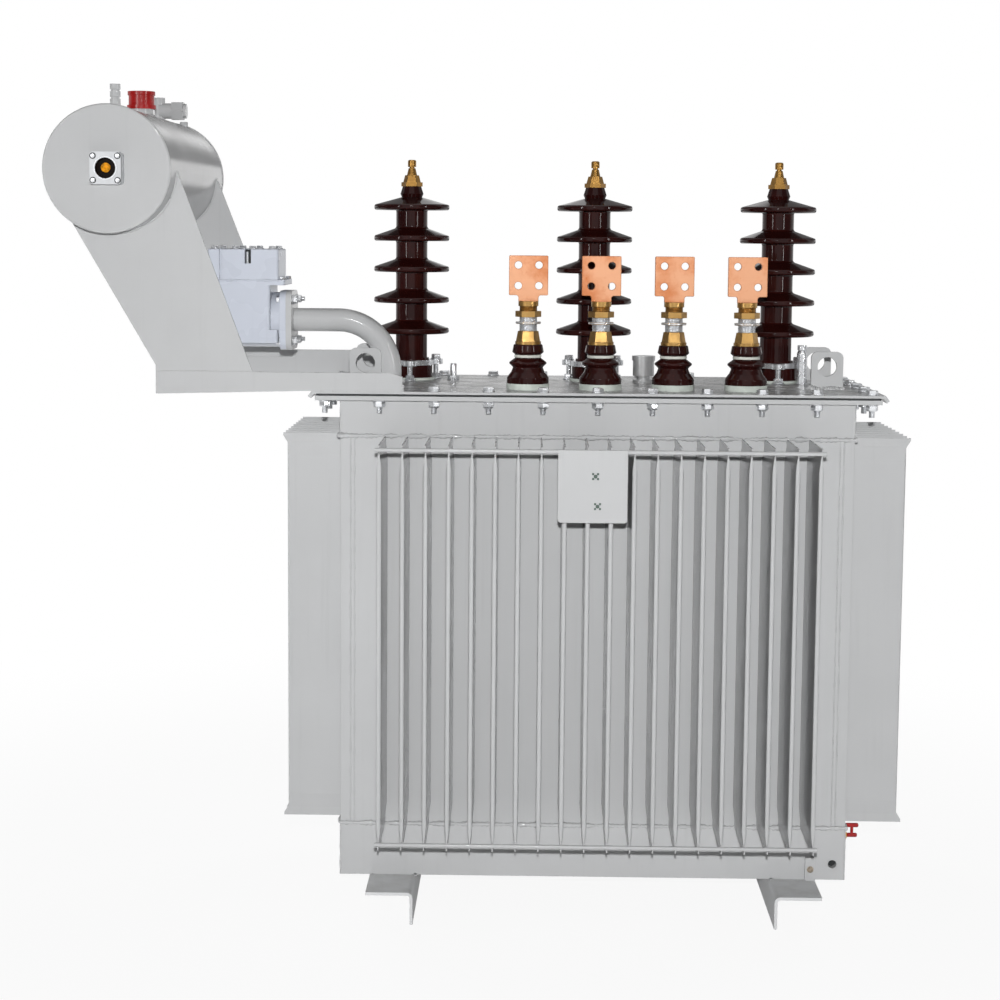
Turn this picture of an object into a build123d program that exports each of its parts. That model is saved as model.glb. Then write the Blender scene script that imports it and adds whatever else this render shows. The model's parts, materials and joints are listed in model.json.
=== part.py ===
from build123d import *
import os
from math import cos, hypot, radians, sin

# Oil-filled power transformer: corrugated tank, porcelain bushings and an overhanging oil conservator.
# Lengths in millimetres, +Z up, low-voltage front of the tank towards -Y.
# The origin is on the floor under the middle of the whole object.
# Sizes named overhang, inset or reach are measured from the tank's walls or middle.

# Gap left between seated pieces
seat_clearance = 0.3

# Skids under the tank
foot_height = 66
foot_gap = 726
foot_flange_width = 95
foot_thickness = 6
foot_length = 702
foot_bend_radius = 12

# Tank
tank_width = 1038
tank_depth = 466
base_height = 109
wall_height = 801
top_frame_height = 73
flange_overhang_x = 49
flange_overhang_y = 25.5
flange_thickness = 10
gasket_thickness = 2.5
gasket_margin = 6
cover_thickness = 6
lip_gap = 1.5
lip_reach = 14
lip_drop = 9
lip_thickness = 5

# Earthing boss and hole on the front of the base
boss_width = 21
boss_height = 48
boss_thickness = 9
boss_rounding = 4
boss_inset = 71
earth_hole_inset = 25
earth_hole_height = 33
earth_hole_diameter = 17
earth_hole_depth = 25

# Corrugated walls
panel_thickness = 3
fin_pitch = 45
fin_thickness = 9
fin_edge_thickness = 2.5
fin_pinch_height = 17
fin_taper_height = 46
fin_flare = 9
fin_flare_tip = 5
fin_flare_height = 20
front_fin_margin = 90
front_fin_depth = 181
side_fin_margin = 45
side_fin_depth = 113

# Rods across the fin fronts
rod_diameter = 8
rod_overhang = 7
rod_top_inset = 8.5
rod_bottom_inset = 11.5

# Bare plate on the upper front rod
bracket_width = 134
bracket_height = 141
bracket_thickness = 4
bracket_x = -14
bracket_corner_radius = 7

# Lifting lugs
lug_width = 66
lug_height = 78
lug_thickness = 11
lug_corner_radius = 13
lug_eye_diameter = 40
lug_eye_height = 47
lug_inset_x = 39
lug_inset_y = 145

# High-voltage bushings
hv_inset_x = 123
hv_inset_y = 123
hv_shed_count = 5
hv_shed_pitch = 66.5
hv_first_shed_height = 100
hv_shed_diameter = 163
hv_shed_rim_height = 11.5
hv_shed_slope_height = 28
hv_shed_hollow = 3
hv_rim_rounding = 5.2
hv_root_rounding = 6
hv_core_diameter = 68
hv_foot_diameter = 92
hv_foot_height = 32
hv_neck_diameter = 76
hv_neck_height = 48
hv_seat_diameter = 100
hv_seat_height = 5
hv_waist_diameter = 44
hv_bulb_diameter = 50
hv_bulb_height = 7
hv_top_diameter = 40
hv_top_height = 417

# Brass terminals of the high-voltage bushings
hv_nut_diameter = 46
hv_nut_height = 9
hv_cone_diameter = 38
hv_cone_top_diameter = 30
hv_cone_height = 15
hv_stem_diameter = 22
hv_stem_top_diameter = 15
hv_stem_height = 15
hv_groove_diameter = 11
hv_groove_height = 3
hv_knob_diameter = 18
hv_knob_height = 15
hv_knob_rounding = 4

# Clamp rings of the high-voltage bushings
clamp_diameter = 100
clamp_thickness = 11
clamp_ear_count = 3
clamp_bolt_circle_diameter = 120
clamp_ear_diameter = 30
clamp_stud_diameter = 11
clamp_turn = 30

# Low-voltage bushings, heights up from the cover
lv_count = 4
lv_spacing = 149
lv_middle_x = 82
lv_inset = 83
lv_seat_diameter = 85
lv_seat_height = 12
lv_base_diameter = 86
lv_base_height = 24
lv_shoulder_diameter = 69
lv_shoulder_height = 35
lv_waist_diameter = 61
lv_waist_height = 45
lv_shed_diameter = 80
lv_shed_height = 54
lv_ring_diameter = 53
lv_ring_height = 64
lv_collar_foot_height = 71
lv_collar_diameter = 65
lv_collar_rim_height = 76
lv_collar_top_diameter = 59
lv_collar_height = 92
lv_rounding = 3

# Low-voltage studs, heights up from the top of the porcelain
lv_lip_diameter = 53
lv_lip_height = 6
lv_hex_diameter = 52
lv_hex_top_diameter = 42
lv_hex_height = 27
lv_stud_diameter = 34
lv_washer_diameter = 51
lv_washer_height = 42
lv_washer_thickness = 4
lv_nut_diameter = 53
lv_nut_height = 56
lv_nut_thickness = 12
lv_top_collar_diameter = 41
lv_top_collar_height = 78
lv_stud_height = 88

# Low-voltage copper palms
palm_width = 80
palm_height = 81
palm_thickness = 10
palm_neck_width = 41
palm_neck_height = 12
palm_neck_rounding = 5
palm_hole_diameter = 15
palm_hole_pitch = 42
palm_corner_radius = 2.5

# Cover fittings
pocket_inset_x = 71.5
pocket_inset_y = 173
pocket_diameter = 22
pocket_height = 83
pocket_shoulder_height = 66
pocket_neck_diameter = 16
pocket_neck_height = 73
pocket_cap_diameter = 20
pot_x = 108
pot_inset = 159
pot_diameter = 46
pot_height = 57
pot_neck_diameter = 30
pot_neck_height = 14
pot_base_height = 6
pot_rim_height = 47
pot_rim_diameter = 50

# Drain valve on the right of the base
drain_inset = 58
drain_height = 78
drain_stub_diameter = 15
drain_stub_length = 12
drain_bar_diameter = 9
drain_body_length = 22
drain_stem_diameter = 6.5
drain_stem_height = 21
drain_bar_length = 27

# Oil conservator
cons_overhang = 448
cons_height = 437
cons_radius = 126
cons_front_overhang = 74.5
cons_rear_overhang = 99.5
cons_wall = 4
cons_end_thickness = 7
cons_end_rounding = 4
cons_end_step = 1.5

# Oil-level gauge
gauge_offset = 5
gauge_width = 61
gauge_height = 63
gauge_thickness = 16
gauge_corner_radius = 7
gauge_bore_diameter = 42
gauge_bore_depth = 9
gauge_back_thickness = 14
gauge_gap = 3
gauge_neck_diameter = 54

# Fittings on top of the conservator, places along Y from the tank's middle
vent_y = -237
vent_diameter = 21
vent_height = 45
vent_groove_diameter = 17
vent_groove_shares = (0.35, 0.68)
vent_groove_width = 4
filler_y = 37
filler_neck_diameter = 50
filler_neck_height = 12
filler_cap_diameter = 54
filler_cap_rim_diameter = 61
filler_cap_rim_height = 8
filler_cap_top_diameter = 58
filler_cap_top_height = 29
filler_cap_height = 37
breather_y = 249
breather_stem_diameter = 24
breather_stem_height = 50
breather_axis_height = 21
breather_body_diameter = 34
breather_body_length = 28
breather_hex_diameter = 44
breather_hex_length = 26
breather_tip_diameter = 32
breather_tip_length = 6

# Conservator supports
support_thickness = 6
front_arm_height = 37
rear_arm_height = 54
arm_overhang = 368.5
arm_droop = 8
arm_seat_length = 127
arm_step_length = 25
arm_step_height = 7
plate_left_height = 50
plate_foot_overhang = 174
saddle_right_angle = -1
saddle_left_angle = 211

# Oil relay between the supports
relay_overhang = 219
relay_width = 148
relay_depth = 138
relay_floor_height = 85
relay_body_height = 132
relay_waist_width = 112
relay_sill_height = 28
relay_sill_width = 144
relay_lid_height = 64
relay_ledge_height = 11
relay_ledge_overhang = 13
relay_rounding = 7
relay_neck_diameter = 116
relay_flange_reach = 75
relay_flange_size = 124
relay_flange_thickness = 13
relay_flange_rounding = 24
lid_notch_width = 13
lid_notch_height = 30
lid_notch_depth = 14
lid_notch_share = 0.07
lid_groove_width = 5
lid_groove_depth = 6
lid_step_share = 0.32
lid_edge_rounding = 3

# Oil pipes
pipe_height = 132
pipe_diameter = 49
pipe_bend_radius = 108
pipe_inset = 84
pipe_flange_thickness = 12
cons_pipe_bend_radius = 90

# Levels
base_z = foot_height
wall_z = base_z + base_height
top_frame_z = wall_z + wall_height
flange_z = top_frame_z + top_frame_height
gasket_z = flange_z + flange_thickness
cover_z = gasket_z + gasket_thickness
cover_top = cover_z + cover_thickness
cons_z = cover_top + cons_height
pipe_z = cover_top + pipe_height

# Widths and places that follow the tank, along X from its middle and along Y from its middle
half_width = tank_width / 2
half_depth = tank_depth / 2
core_width = tank_width - 2 * panel_thickness
core_depth = tank_depth - 2 * panel_thickness
flange_width = tank_width + 2 * flange_overhang_x
flange_depth = tank_depth + 2 * flange_overhang_y
front_fin_count = int((tank_width - 2 * front_fin_margin) / fin_pitch) + 1
side_fin_count = int((tank_depth - 2 * side_fin_margin) / fin_pitch) + 1
lug_x = half_width - lug_inset_x
lug_y = half_depth - lug_inset_y
hv_spacing = half_width - hv_inset_x
hv_y = half_depth - hv_inset_y
lv_y = lv_inset - half_depth
cons_x = -half_width - cons_overhang
cons_front = -flange_depth / 2 - cons_front_overhang
cons_rear = flange_depth / 2 + cons_rear_overhang
shell_radius = cons_radius - cons_end_step
relay_x = -half_width - relay_overhang

# The tank's middle stands off the origin so that the conservator and the right-hand fins reach equally far
left_reach = cons_radius - cons_x
right_reach = half_width + side_fin_depth + fin_flare
tank_x = (left_reach - right_reach) / 2

os.makedirs("parts", exist_ok=True)


def level(x, y, z):
    """Level plane at a point, with x measured from the middle of the tank."""
    return Plane((tank_x + x, y, z))


def upright(x, y, z):
    """Upright plane facing the front, with local X to the right and local Y up."""
    return Plane((tank_x + x, y, z), x_dir=(1, 0, 0), z_dir=(0, -1, 0))


def sideways(x, y, z):
    """Upright plane facing right, with local X to the rear and local Y up."""
    return Plane((tank_x + x, y, z), x_dir=(0, 1, 0), z_dir=(1, 0, 0))


def save(piece, name):
    """Label a finished piece and write it as its own node."""
    piece.part.label = name
    export_step(piece.part, f"parts/{name}.step")


def nearest(sketch, x, y):
    """Corner of a sketch nearest to a point."""
    return sketch.vertices().sort_by_distance((x, y))[0]


def turned(plane, outline):
    """Piece turned about the upright line of a plane, from radius and height points."""
    with BuildPart() as piece:
        with BuildSketch(plane):
            Polygon(*outline, align=None)
        revolve(axis=Axis(plane.origin, plane.y_dir))
    return piece


def disc(plane, diameter, length):
    """Round stretch of the current piece, standing on a plane."""
    with BuildSketch(plane) as section:
        Circle(diameter / 2)
    extrude(section.sketch, amount=length)


def tapered_hex(x, y, z, diameter, top_diameter, height):
    """Six-sided stretch of the current piece, narrowing upwards."""
    with BuildSketch(level(x, y, z)) as foot_section:
        RegularPolygon(diameter / 2, 6)
    with BuildSketch(level(x, y, z + height)) as top_section:
        RegularPolygon(top_diameter / 2, 6)
    loft([foot_section.sketch, top_section.sketch])


# Tank: trough, closed core and upper band in one housing, with an earthing boss and hole
with BuildPart() as tank_body:
    with BuildSketch(level(0, 0, base_z)):
        Rectangle(tank_width, tank_depth)
    extrude(amount=base_height)
    with BuildSketch(level(0, 0, wall_z)):
        Rectangle(core_width, core_depth)
    extrude(amount=wall_height)
    with BuildSketch(level(0, 0, top_frame_z)):
        Rectangle(tank_width, tank_depth)
    extrude(amount=gasket_z - top_frame_z)
    with BuildSketch(upright(half_width - boss_inset, -half_depth, base_z + boss_height / 2)):
        RectangleRounded(boss_width, boss_height, boss_rounding)
    extrude(amount=boss_thickness)
    with BuildSketch(upright(half_width - earth_hole_inset, -half_depth, base_z + earth_hole_height)):
        Circle(earth_hole_diameter / 2)
    extrude(amount=-earth_hole_depth, mode=Mode.SUBTRACT)
save(tank_body, "tank_body")

# Rim flange, gasket, and cover with lips bent down over both ends
with BuildPart() as tank_flange:
    with BuildSketch(level(0, 0, flange_z)):
        Rectangle(flange_width, flange_depth)
        Rectangle(tank_width, tank_depth, mode=Mode.SUBTRACT)
    extrude(amount=flange_thickness)
save(tank_flange, "tank_flange")

with BuildPart() as cover_gasket:
    with BuildSketch(level(0, 0, gasket_z)):
        Rectangle(flange_width - 2 * gasket_margin, flange_depth - 2 * gasket_margin)
    extrude(amount=gasket_thickness)
save(cover_gasket, "cover_gasket")

lip_start = flange_width / 2 + lip_gap
lip_end = flange_width / 2 + lip_reach
with BuildPart() as cover_plate:
    with BuildSketch(upright(0, flange_depth / 2, cover_z)):
        with BuildLine():
            Polyline(
                (0, 0),
                (lip_start, 0),
                (lip_end - lip_thickness, -lip_drop),
                (lip_end, lip_thickness - lip_drop),
                (lip_start + lip_thickness, cover_thickness),
                (0, cover_thickness),
            )
            mirror(about=Plane.YZ)
        make_face()
    extrude(amount=flange_depth)
save(cover_plate, "cover_plate")


def cooling_fin(plane, depth):
    """One pressed fin: rounded nose, ends pinched to a thin edge that flares outwards."""
    across = Plane(plane.origin, x_dir=plane.z_dir, z_dir=plane.z_dir.cross(plane.y_dir))
    plan = Plane(plane.origin, x_dir=plane.z_dir, z_dir=plane.y_dir)
    reach = depth + fin_flare
    half = fin_thickness / 2
    edge = fin_edge_thickness / 2
    middle = wall_height / 2
    flare_outline = (
        (0, 0),
        (reach, 0),
        (reach, fin_flare_tip),
        (depth, fin_flare_height),
        (depth - half, fin_taper_height),
        (0, fin_taper_height),
    )
    with BuildPart() as fin:
        with BuildSketch(plan):
            with Locations(((depth - half) / 2, 0)):
                Rectangle(depth - half, fin_thickness)
            with Locations((depth - half, 0)):
                Circle(half)
        extrude(amount=wall_height)
        with BuildSketch(plane):
            with BuildLine():
                Polyline((0, 0), (edge, 0), (edge, fin_pinch_height), (half, fin_taper_height), (half, middle))
                mirror(about=Plane.YZ)
                mirror(about=Plane.XZ.offset(-middle))
            make_face()
        extrude(amount=reach, mode=Mode.INTERSECT)
        with BuildSketch(across):
            Polygon(*flare_outline, align=None)
            Polygon(*[(x, wall_height - z) for x, z in flare_outline], align=None)
        extrude(amount=edge, both=True)
    return fin


def fin_wall(plane, width, fin_count, depth):
    """Corrugated wall: a sheet with a row of fins standing on it."""
    fin = cooling_fin(plane, depth)
    with BuildPart() as wall:
        with BuildSketch(plane):
            with Locations((0, wall_height / 2)):
                Rectangle(width, wall_height)
        extrude(amount=-panel_thickness)
        for n in range(fin_count):
            place = (n - (fin_count - 1) / 2) * fin_pitch
            add(fin.part.moved(Location(plane.x_dir * place)))
    return wall


# Corrugated cooling walls
front_plane = upright(0, -half_depth, wall_z)
rear_plane = Plane((tank_x, half_depth, wall_z), x_dir=(-1, 0, 0), z_dir=(0, 1, 0))
right_plane = sideways(half_width, 0, wall_z)
left_plane = Plane((tank_x - half_width, 0, wall_z), x_dir=(0, -1, 0), z_dir=(-1, 0, 0))
save(fin_wall(front_plane, tank_width, front_fin_count, front_fin_depth), "front_fin_wall")
save(fin_wall(rear_plane, tank_width, front_fin_count, front_fin_depth), "rear_fin_wall")
save(fin_wall(left_plane, core_depth, side_fin_count, side_fin_depth), "left_fin_wall")
save(fin_wall(right_plane, core_depth, side_fin_count, side_fin_depth), "right_fin_wall")

rod_length = (front_fin_count - 1) * fin_pitch + 2 * rod_overhang
flare_run = fin_flare_height - fin_flare_tip
rod_stand_off = (rod_diameter / 2 + seat_clearance) * hypot(fin_flare, flare_run) / flare_run


def rod_reach(inset):
    """Distance from the tank's middle to a rod that rests on the flared ends of the fins."""
    flare_there = fin_flare * (fin_flare_height - inset) / flare_run
    return half_depth + front_fin_depth + flare_there + rod_stand_off


# Rods across the flared ends of the fins
upper_reach = rod_reach(rod_top_inset)
upper_rod_z = top_frame_z - rod_top_inset
lower_reach = rod_reach(rod_bottom_inset)
lower_rod_z = wall_z + rod_bottom_inset
with BuildPart() as fin_rods:
    for rod_y, rod_z in ((upper_reach, upper_rod_z), (lower_reach, lower_rod_z)):
        for side in (-1, 1):
            with BuildSketch(sideways(0, side * rod_y, rod_z)):
                Circle(rod_diameter / 2)
            extrude(amount=rod_length / 2, both=True)
save(fin_rods, "fin_rods")

# Bare plate on the front of the upper rod
bracket_top = upper_rod_z + rod_diameter / 2
bracket_y = -upper_reach - rod_diameter / 2 - seat_clearance
with BuildPart() as nameplate_bracket:
    with BuildSketch(upright(bracket_x, bracket_y, bracket_top - bracket_height / 2)) as plate:
        Rectangle(bracket_width, bracket_height)
        fillet(plate.vertices().group_by(Axis.Y)[0], bracket_corner_radius)
    extrude(amount=bracket_thickness)
save(nameplate_bracket, "nameplate_bracket")

# Skids: bent plates, flange against the tank floor and leg on the ground
foot_inner = foot_gap / 2
foot_outer = foot_inner + foot_flange_width
foot_leg = foot_inner + foot_thickness
foot_under = foot_height - foot_thickness
foot_outline = (
    (foot_inner, 0),
    (foot_inner, foot_height),
    (foot_outer, foot_height),
    (foot_outer, foot_under),
    (foot_leg, foot_under),
    (foot_leg, 0),
)
for side, name in ((-1, "left_foot"), (1, "right_foot")):
    with BuildPart() as foot:
        with BuildSketch(upright(0, 0, 0)) as section:
            Polygon(*[(side * x, z) for x, z in foot_outline], align=None)
            fillet(nearest(section, side * foot_inner, foot_height), foot_bend_radius)
            fillet(nearest(section, side * foot_leg, foot_under), foot_bend_radius - foot_thickness)
        extrude(amount=foot_length / 2, both=True)
    save(foot, name)

# Lifting lugs on the cover
with BuildPart() as lifting_lugs:
    for side_x in (-1, 1):
        for side_y in (-1, 1):
            with BuildSketch(upright(side_x * lug_x, side_y * lug_y, cover_top)) as lug:
                with Locations((0, lug_height / 2)):
                    Rectangle(lug_width, lug_height)
                fillet(lug.vertices().group_by(Axis.Y)[-1], lug_corner_radius)
                with Locations((0, lug_eye_height)):
                    Circle(lug_eye_diameter / 2, mode=Mode.SUBTRACT)
            extrude(amount=lug_thickness / 2, both=True)
save(lifting_lugs, "lifting_lugs")


def hv_outline():
    """Half section of the high-voltage porcelain, foot to bulb, with drooping sheds."""
    core = hv_core_diameter / 2
    rim = hv_shed_diameter / 2
    points = [
        (0, 0),
        (hv_seat_diameter / 2, 0),
        (hv_seat_diameter / 2, hv_seat_height),
        (hv_foot_diameter / 2, hv_seat_height),
        (hv_foot_diameter / 2, hv_foot_height),
        (hv_neck_diameter / 2, hv_foot_height),
        (hv_neck_diameter / 2, hv_neck_height),
        (core, hv_neck_height),
    ]
    for n in range(hv_shed_count):
        under = hv_first_shed_height + n * hv_shed_pitch
        top_radius = core if n < hv_shed_count - 1 else hv_waist_diameter / 2
        points.append((core, under + hv_shed_hollow))
        points.append((rim, under))
        points.append((rim, under + hv_shed_rim_height))
        points.append((top_radius, under + hv_shed_slope_height))
    bulb = under + hv_shed_slope_height + hv_bulb_height
    points.append((hv_bulb_diameter / 2, bulb))
    points.append((hv_top_diameter / 2, hv_top_height))
    points.append((0, hv_top_height))
    return points


# High-voltage bushings
hv_places = {"left": -hv_spacing, "middle": 0, "right": hv_spacing}
for place, hv_x in hv_places.items():
    with BuildPart() as hv_bushing:
        with BuildSketch(upright(hv_x, hv_y, cover_top)) as half_section:
            Polygon(*hv_outline(), align=None)
            fillet(half_section.vertices().group_by(Axis.X)[-1], hv_rim_rounding)
            roots = half_section.vertices().filter_by_position(Axis.X, hv_core_diameter / 2, hv_core_diameter / 2)
            fillet(roots.sort_by(Axis.Y)[1:], hv_root_rounding)
        revolve(axis=Axis((tank_x + hv_x, hv_y, 0), (0, 0, 1)))
    save(hv_bushing, f"hv_bushing_{place}")

# Brass nuts and connection knobs on top of them
hv_nut_z = cover_top + hv_top_height
hv_cone_z = hv_nut_z + hv_nut_height
hv_stem_z = hv_cone_z + hv_cone_height
hv_groove_z = hv_stem_z + hv_stem_height
hv_knob_z = hv_groove_z + hv_groove_height
with BuildPart() as hv_terminals:
    for hv_x in hv_places.values():
        tapered_hex(hv_x, hv_y, hv_nut_z, hv_nut_diameter, hv_nut_diameter, hv_nut_height)
        tapered_hex(hv_x, hv_y, hv_cone_z, hv_cone_diameter, hv_cone_top_diameter, hv_cone_height)
        with BuildSketch(upright(hv_x, hv_y, hv_stem_z)) as stem:
            with BuildLine():
                Polyline(
                    (0, 0),
                    (hv_stem_diameter / 2, 0),
                    (hv_stem_top_diameter / 2, hv_stem_height),
                    (hv_groove_diameter / 2, hv_stem_height),
                    (hv_groove_diameter / 2, hv_knob_z - hv_stem_z),
                    (hv_knob_diameter / 2, hv_knob_z - hv_stem_z),
                    (hv_knob_diameter / 2, hv_knob_z + hv_knob_height - hv_stem_z),
                    (0, hv_knob_z + hv_knob_height - hv_stem_z),
                    close=True,
                )
            make_face()
            fillet(stem.vertices().group_by(Axis.Y)[-1].sort_by(Axis.X)[-1], hv_knob_rounding)
        revolve(axis=Axis((tank_x + hv_x, hv_y, 0), (0, 0, 1)))
save(hv_terminals, "hv_terminals")

# Clamp rings with ears, held by studs in the cover
clamp_ear_reach = clamp_bolt_circle_diameter / 2
with BuildPart() as hv_clamps:
    for hv_x in hv_places.values():
        with BuildSketch(level(hv_x, hv_y, cover_top + hv_foot_height)):
            Circle(clamp_diameter / 2)
            with PolarLocations(clamp_ear_reach, clamp_ear_count, clamp_turn):
                Circle(clamp_ear_diameter / 2)
            Circle(hv_neck_diameter / 2 + seat_clearance, mode=Mode.SUBTRACT)
        extrude(amount=clamp_thickness)
        with BuildSketch(level(hv_x, hv_y, cover_top)):
            with PolarLocations(clamp_ear_reach, clamp_ear_count, clamp_turn):
                Circle(clamp_stud_diameter / 2)
        extrude(amount=hv_foot_height + clamp_thickness)
save(hv_clamps, "hv_clamps")

# Low-voltage bushings: seat ring, bell-shaped foot, shed and collar
lv_outline = (
    (0, 0),
    (lv_seat_diameter / 2, 0),
    (lv_seat_diameter / 2, lv_seat_height),
    (lv_base_diameter / 2, lv_seat_height),
    (lv_base_diameter / 2, lv_base_height),
    (lv_shoulder_diameter / 2, lv_shoulder_height),
    (lv_waist_diameter / 2, lv_waist_height),
    (lv_shed_diameter / 2, lv_shed_height),
    (lv_ring_diameter / 2, lv_ring_height),
    (lv_ring_diameter / 2, lv_collar_foot_height),
    (lv_collar_diameter / 2, lv_collar_rim_height),
    (lv_collar_top_diameter / 2, lv_collar_height),
    (0, lv_collar_height),
)
lv_rounded_corners = (4, 5, 6, 7, 10, 11)
lv_top = cover_top + lv_collar_height
lv_places = [lv_middle_x + (n - (lv_count - 1) / 2) * lv_spacing for n in range(lv_count)]
for n, lv_x in enumerate(lv_places):
    with BuildPart() as lv_bushing:
        with BuildSketch(upright(lv_x, lv_y, cover_top)) as half_section:
            Polygon(*lv_outline, align=None)
            fillet([nearest(half_section, *lv_outline[c]) for c in lv_rounded_corners], lv_rounding)
        revolve(axis=Axis((tank_x + lv_x, lv_y, 0), (0, 0, 1)))
    save(lv_bushing, f"lv_bushing_{n + 1}")

# Brass studs with cone nut, washer, hexagon nut and collar
with BuildPart() as lv_studs:
    for lv_x in lv_places:
        disc(level(lv_x, lv_y, lv_top), lv_lip_diameter, lv_lip_height)
        tapered_hex(lv_x, lv_y, lv_top, lv_hex_diameter, lv_hex_top_diameter, lv_hex_height)
        disc(level(lv_x, lv_y, lv_top), lv_stud_diameter, lv_stud_height)
        disc(level(lv_x, lv_y, lv_top + lv_washer_height), lv_washer_diameter, lv_washer_thickness)
        tapered_hex(lv_x, lv_y, lv_top + lv_nut_height, lv_nut_diameter, lv_nut_diameter, lv_nut_thickness)
        disc(level(lv_x, lv_y, lv_top + lv_top_collar_height), lv_top_collar_diameter, lv_stud_height - lv_top_collar_height)
save(lv_studs, "lv_studs")

# Copper palms on the studs
palm_z = lv_top + lv_stud_height
palm_top = palm_neck_height + palm_height
for n, lv_x in enumerate(lv_places):
    with BuildPart() as lv_palm:
        with BuildSketch(upright(lv_x, lv_y, palm_z)) as palm:
            with Locations((0, palm_neck_height + palm_height / 2)):
                RectangleRounded(palm_width, palm_height, palm_corner_radius)
            with Locations((0, palm_top / 2)):
                Rectangle(palm_neck_width, palm_top)
            for side in (-1, 1):
                fillet(nearest(palm, side * palm_neck_width / 2, palm_neck_height), palm_neck_rounding)
            with Locations((0, palm_neck_height + palm_height / 2)):
                with GridLocations(palm_hole_pitch, palm_hole_pitch, 2, 2):
                    Circle(palm_hole_diameter / 2, mode=Mode.SUBTRACT)
        extrude(amount=palm_thickness / 2, both=True)
    save(lv_palm, f"lv_palm_{n + 1}")

# Cover fittings: thermometer pocket and filling pot
pocket_outline = (
    (0, 0),
    (pocket_diameter / 2, 0),
    (pocket_diameter / 2, pocket_shoulder_height),
    (pocket_neck_diameter / 2, pocket_neck_height),
    (pocket_cap_diameter / 2, pocket_neck_height),
    (pocket_cap_diameter / 2, pocket_height),
    (0, pocket_height),
)
pocket_plane = upright(half_width - pocket_inset_x, half_depth - pocket_inset_y, cover_top)
save(turned(pocket_plane, pocket_outline), "thermometer_pocket")
pot_outline = (
    (0, 0),
    (pot_diameter / 2, 0),
    (pot_diameter / 2, pot_base_height),
    (pot_neck_diameter / 2, pot_base_height),
    (pot_neck_diameter / 2, pot_neck_height),
    (pot_diameter / 2, pot_neck_height),
    (pot_diameter / 2, pot_rim_height),
    (pot_rim_diameter / 2, pot_rim_height),
    (pot_rim_diameter / 2, pot_height),
    (0, pot_height),
)
save(turned(upright(pot_x, half_depth - pot_inset, cover_top), pot_outline), "filling_pot")

# Drain valve: stub in the tank wall, body and a cross-bar handle on a short stem
drain_y = drain_inset - half_depth
drain_z = base_z + drain_height
drain_body_x = half_width + drain_stub_length
drain_stem_x = drain_body_x + drain_body_length / 2
with BuildPart() as drain_valve:
    with BuildSketch(sideways(half_width, drain_y, drain_z)):
        RegularPolygon(drain_stub_diameter / 2, 6)
    extrude(amount=drain_stub_length)
save(drain_valve, "drain_valve")

with BuildPart() as drain_handle:
    disc(sideways(drain_body_x, drain_y, drain_z), drain_bar_diameter, drain_body_length)
    disc(level(drain_stem_x, drain_y, drain_z), drain_stem_diameter, drain_stem_height)
    bar_x = drain_stem_x - drain_bar_length / 2
    disc(sideways(bar_x, drain_y, drain_z + drain_stem_height), drain_bar_diameter, drain_bar_length)
    fillet(drain_handle.edges().filter_by(GeomType.CIRCLE).filter_by(Plane.YZ), drain_bar_diameter / 3)
save(drain_handle, "drain_handle")

# Conservator: tube closed by two slightly proud ends
shell_front = cons_front + cons_end_thickness
shell_rear = cons_rear - cons_end_thickness
with BuildPart() as conservator_shell:
    with BuildSketch(upright(cons_x, shell_rear, cons_z)):
        Circle(shell_radius)
        Circle(shell_radius - cons_wall, mode=Mode.SUBTRACT)
    extrude(amount=shell_rear - shell_front)
save(conservator_shell, "conservator_shell")

for end_y, outer, name in ((shell_front, 0, "conservator_front_end"), (cons_rear, -1, "conservator_rear_end")):
    with BuildPart() as cons_end:
        disc(upright(cons_x, end_y, cons_z), 2 * cons_radius, cons_end_thickness)
        fillet(cons_end.faces().sort_by(Axis.Y)[outer].edges(), cons_end_rounding)
    save(cons_end, name)

# Oil-level gauge: two square plates with a neck between, and a bore for the glass
gauge_x = cons_x + gauge_offset
gauge_neck_y = cons_front - gauge_back_thickness
gauge_y = gauge_neck_y - gauge_gap
with BuildPart() as oil_gauge:
    for plate_y, plate_thickness in ((cons_front, gauge_back_thickness), (gauge_y, gauge_thickness)):
        with BuildSketch(upright(gauge_x, plate_y, cons_z)):
            RectangleRounded(gauge_width, gauge_height, gauge_corner_radius)
        extrude(amount=plate_thickness)
    disc(upright(gauge_x, gauge_neck_y, cons_z), gauge_neck_diameter, gauge_gap)
    with BuildSketch(upright(gauge_x, gauge_y - gauge_thickness, cons_z)):
        Circle(gauge_bore_diameter / 2)
    extrude(amount=-gauge_bore_depth, mode=Mode.SUBTRACT)
save(oil_gauge, "oil_gauge")

# Fittings on top of the conservator
fitting_z = cons_z + shell_radius + seat_clearance


def vent_outline():
    """Half section of the grooved vent stub."""
    points = [(0, 0), (vent_diameter / 2, 0)]
    for share in vent_groove_shares:
        groove = vent_height * share
        points.append((vent_diameter / 2, groove))
        points.append((vent_groove_diameter / 2, groove))
        points.append((vent_groove_diameter / 2, groove + vent_groove_width))
        points.append((vent_diameter / 2, groove + vent_groove_width))
    points.append((vent_diameter / 2, vent_height))
    points.append((0, vent_height))
    return points


save(turned(upright(cons_x, vent_y, fitting_z), vent_outline()), "vent_stub")

with BuildPart() as filler_neck:
    disc(level(cons_x, filler_y, fitting_z), filler_neck_diameter, filler_neck_height)
save(filler_neck, "filler_neck")

filler_cap_z = fitting_z + filler_neck_height
filler_cap_outline = (
    (0, 0),
    (filler_cap_rim_diameter / 2, 0),
    (filler_cap_rim_diameter / 2, filler_cap_rim_height),
    (filler_cap_diameter / 2, filler_cap_rim_height),
    (filler_cap_diameter / 2, filler_cap_top_height),
    (filler_cap_top_diameter / 2, filler_cap_top_height),
    (filler_cap_top_diameter / 2, filler_cap_height),
    (0, filler_cap_height),
)
save(turned(upright(cons_x, filler_y, filler_cap_z), filler_cap_outline), "filler_cap")

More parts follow.
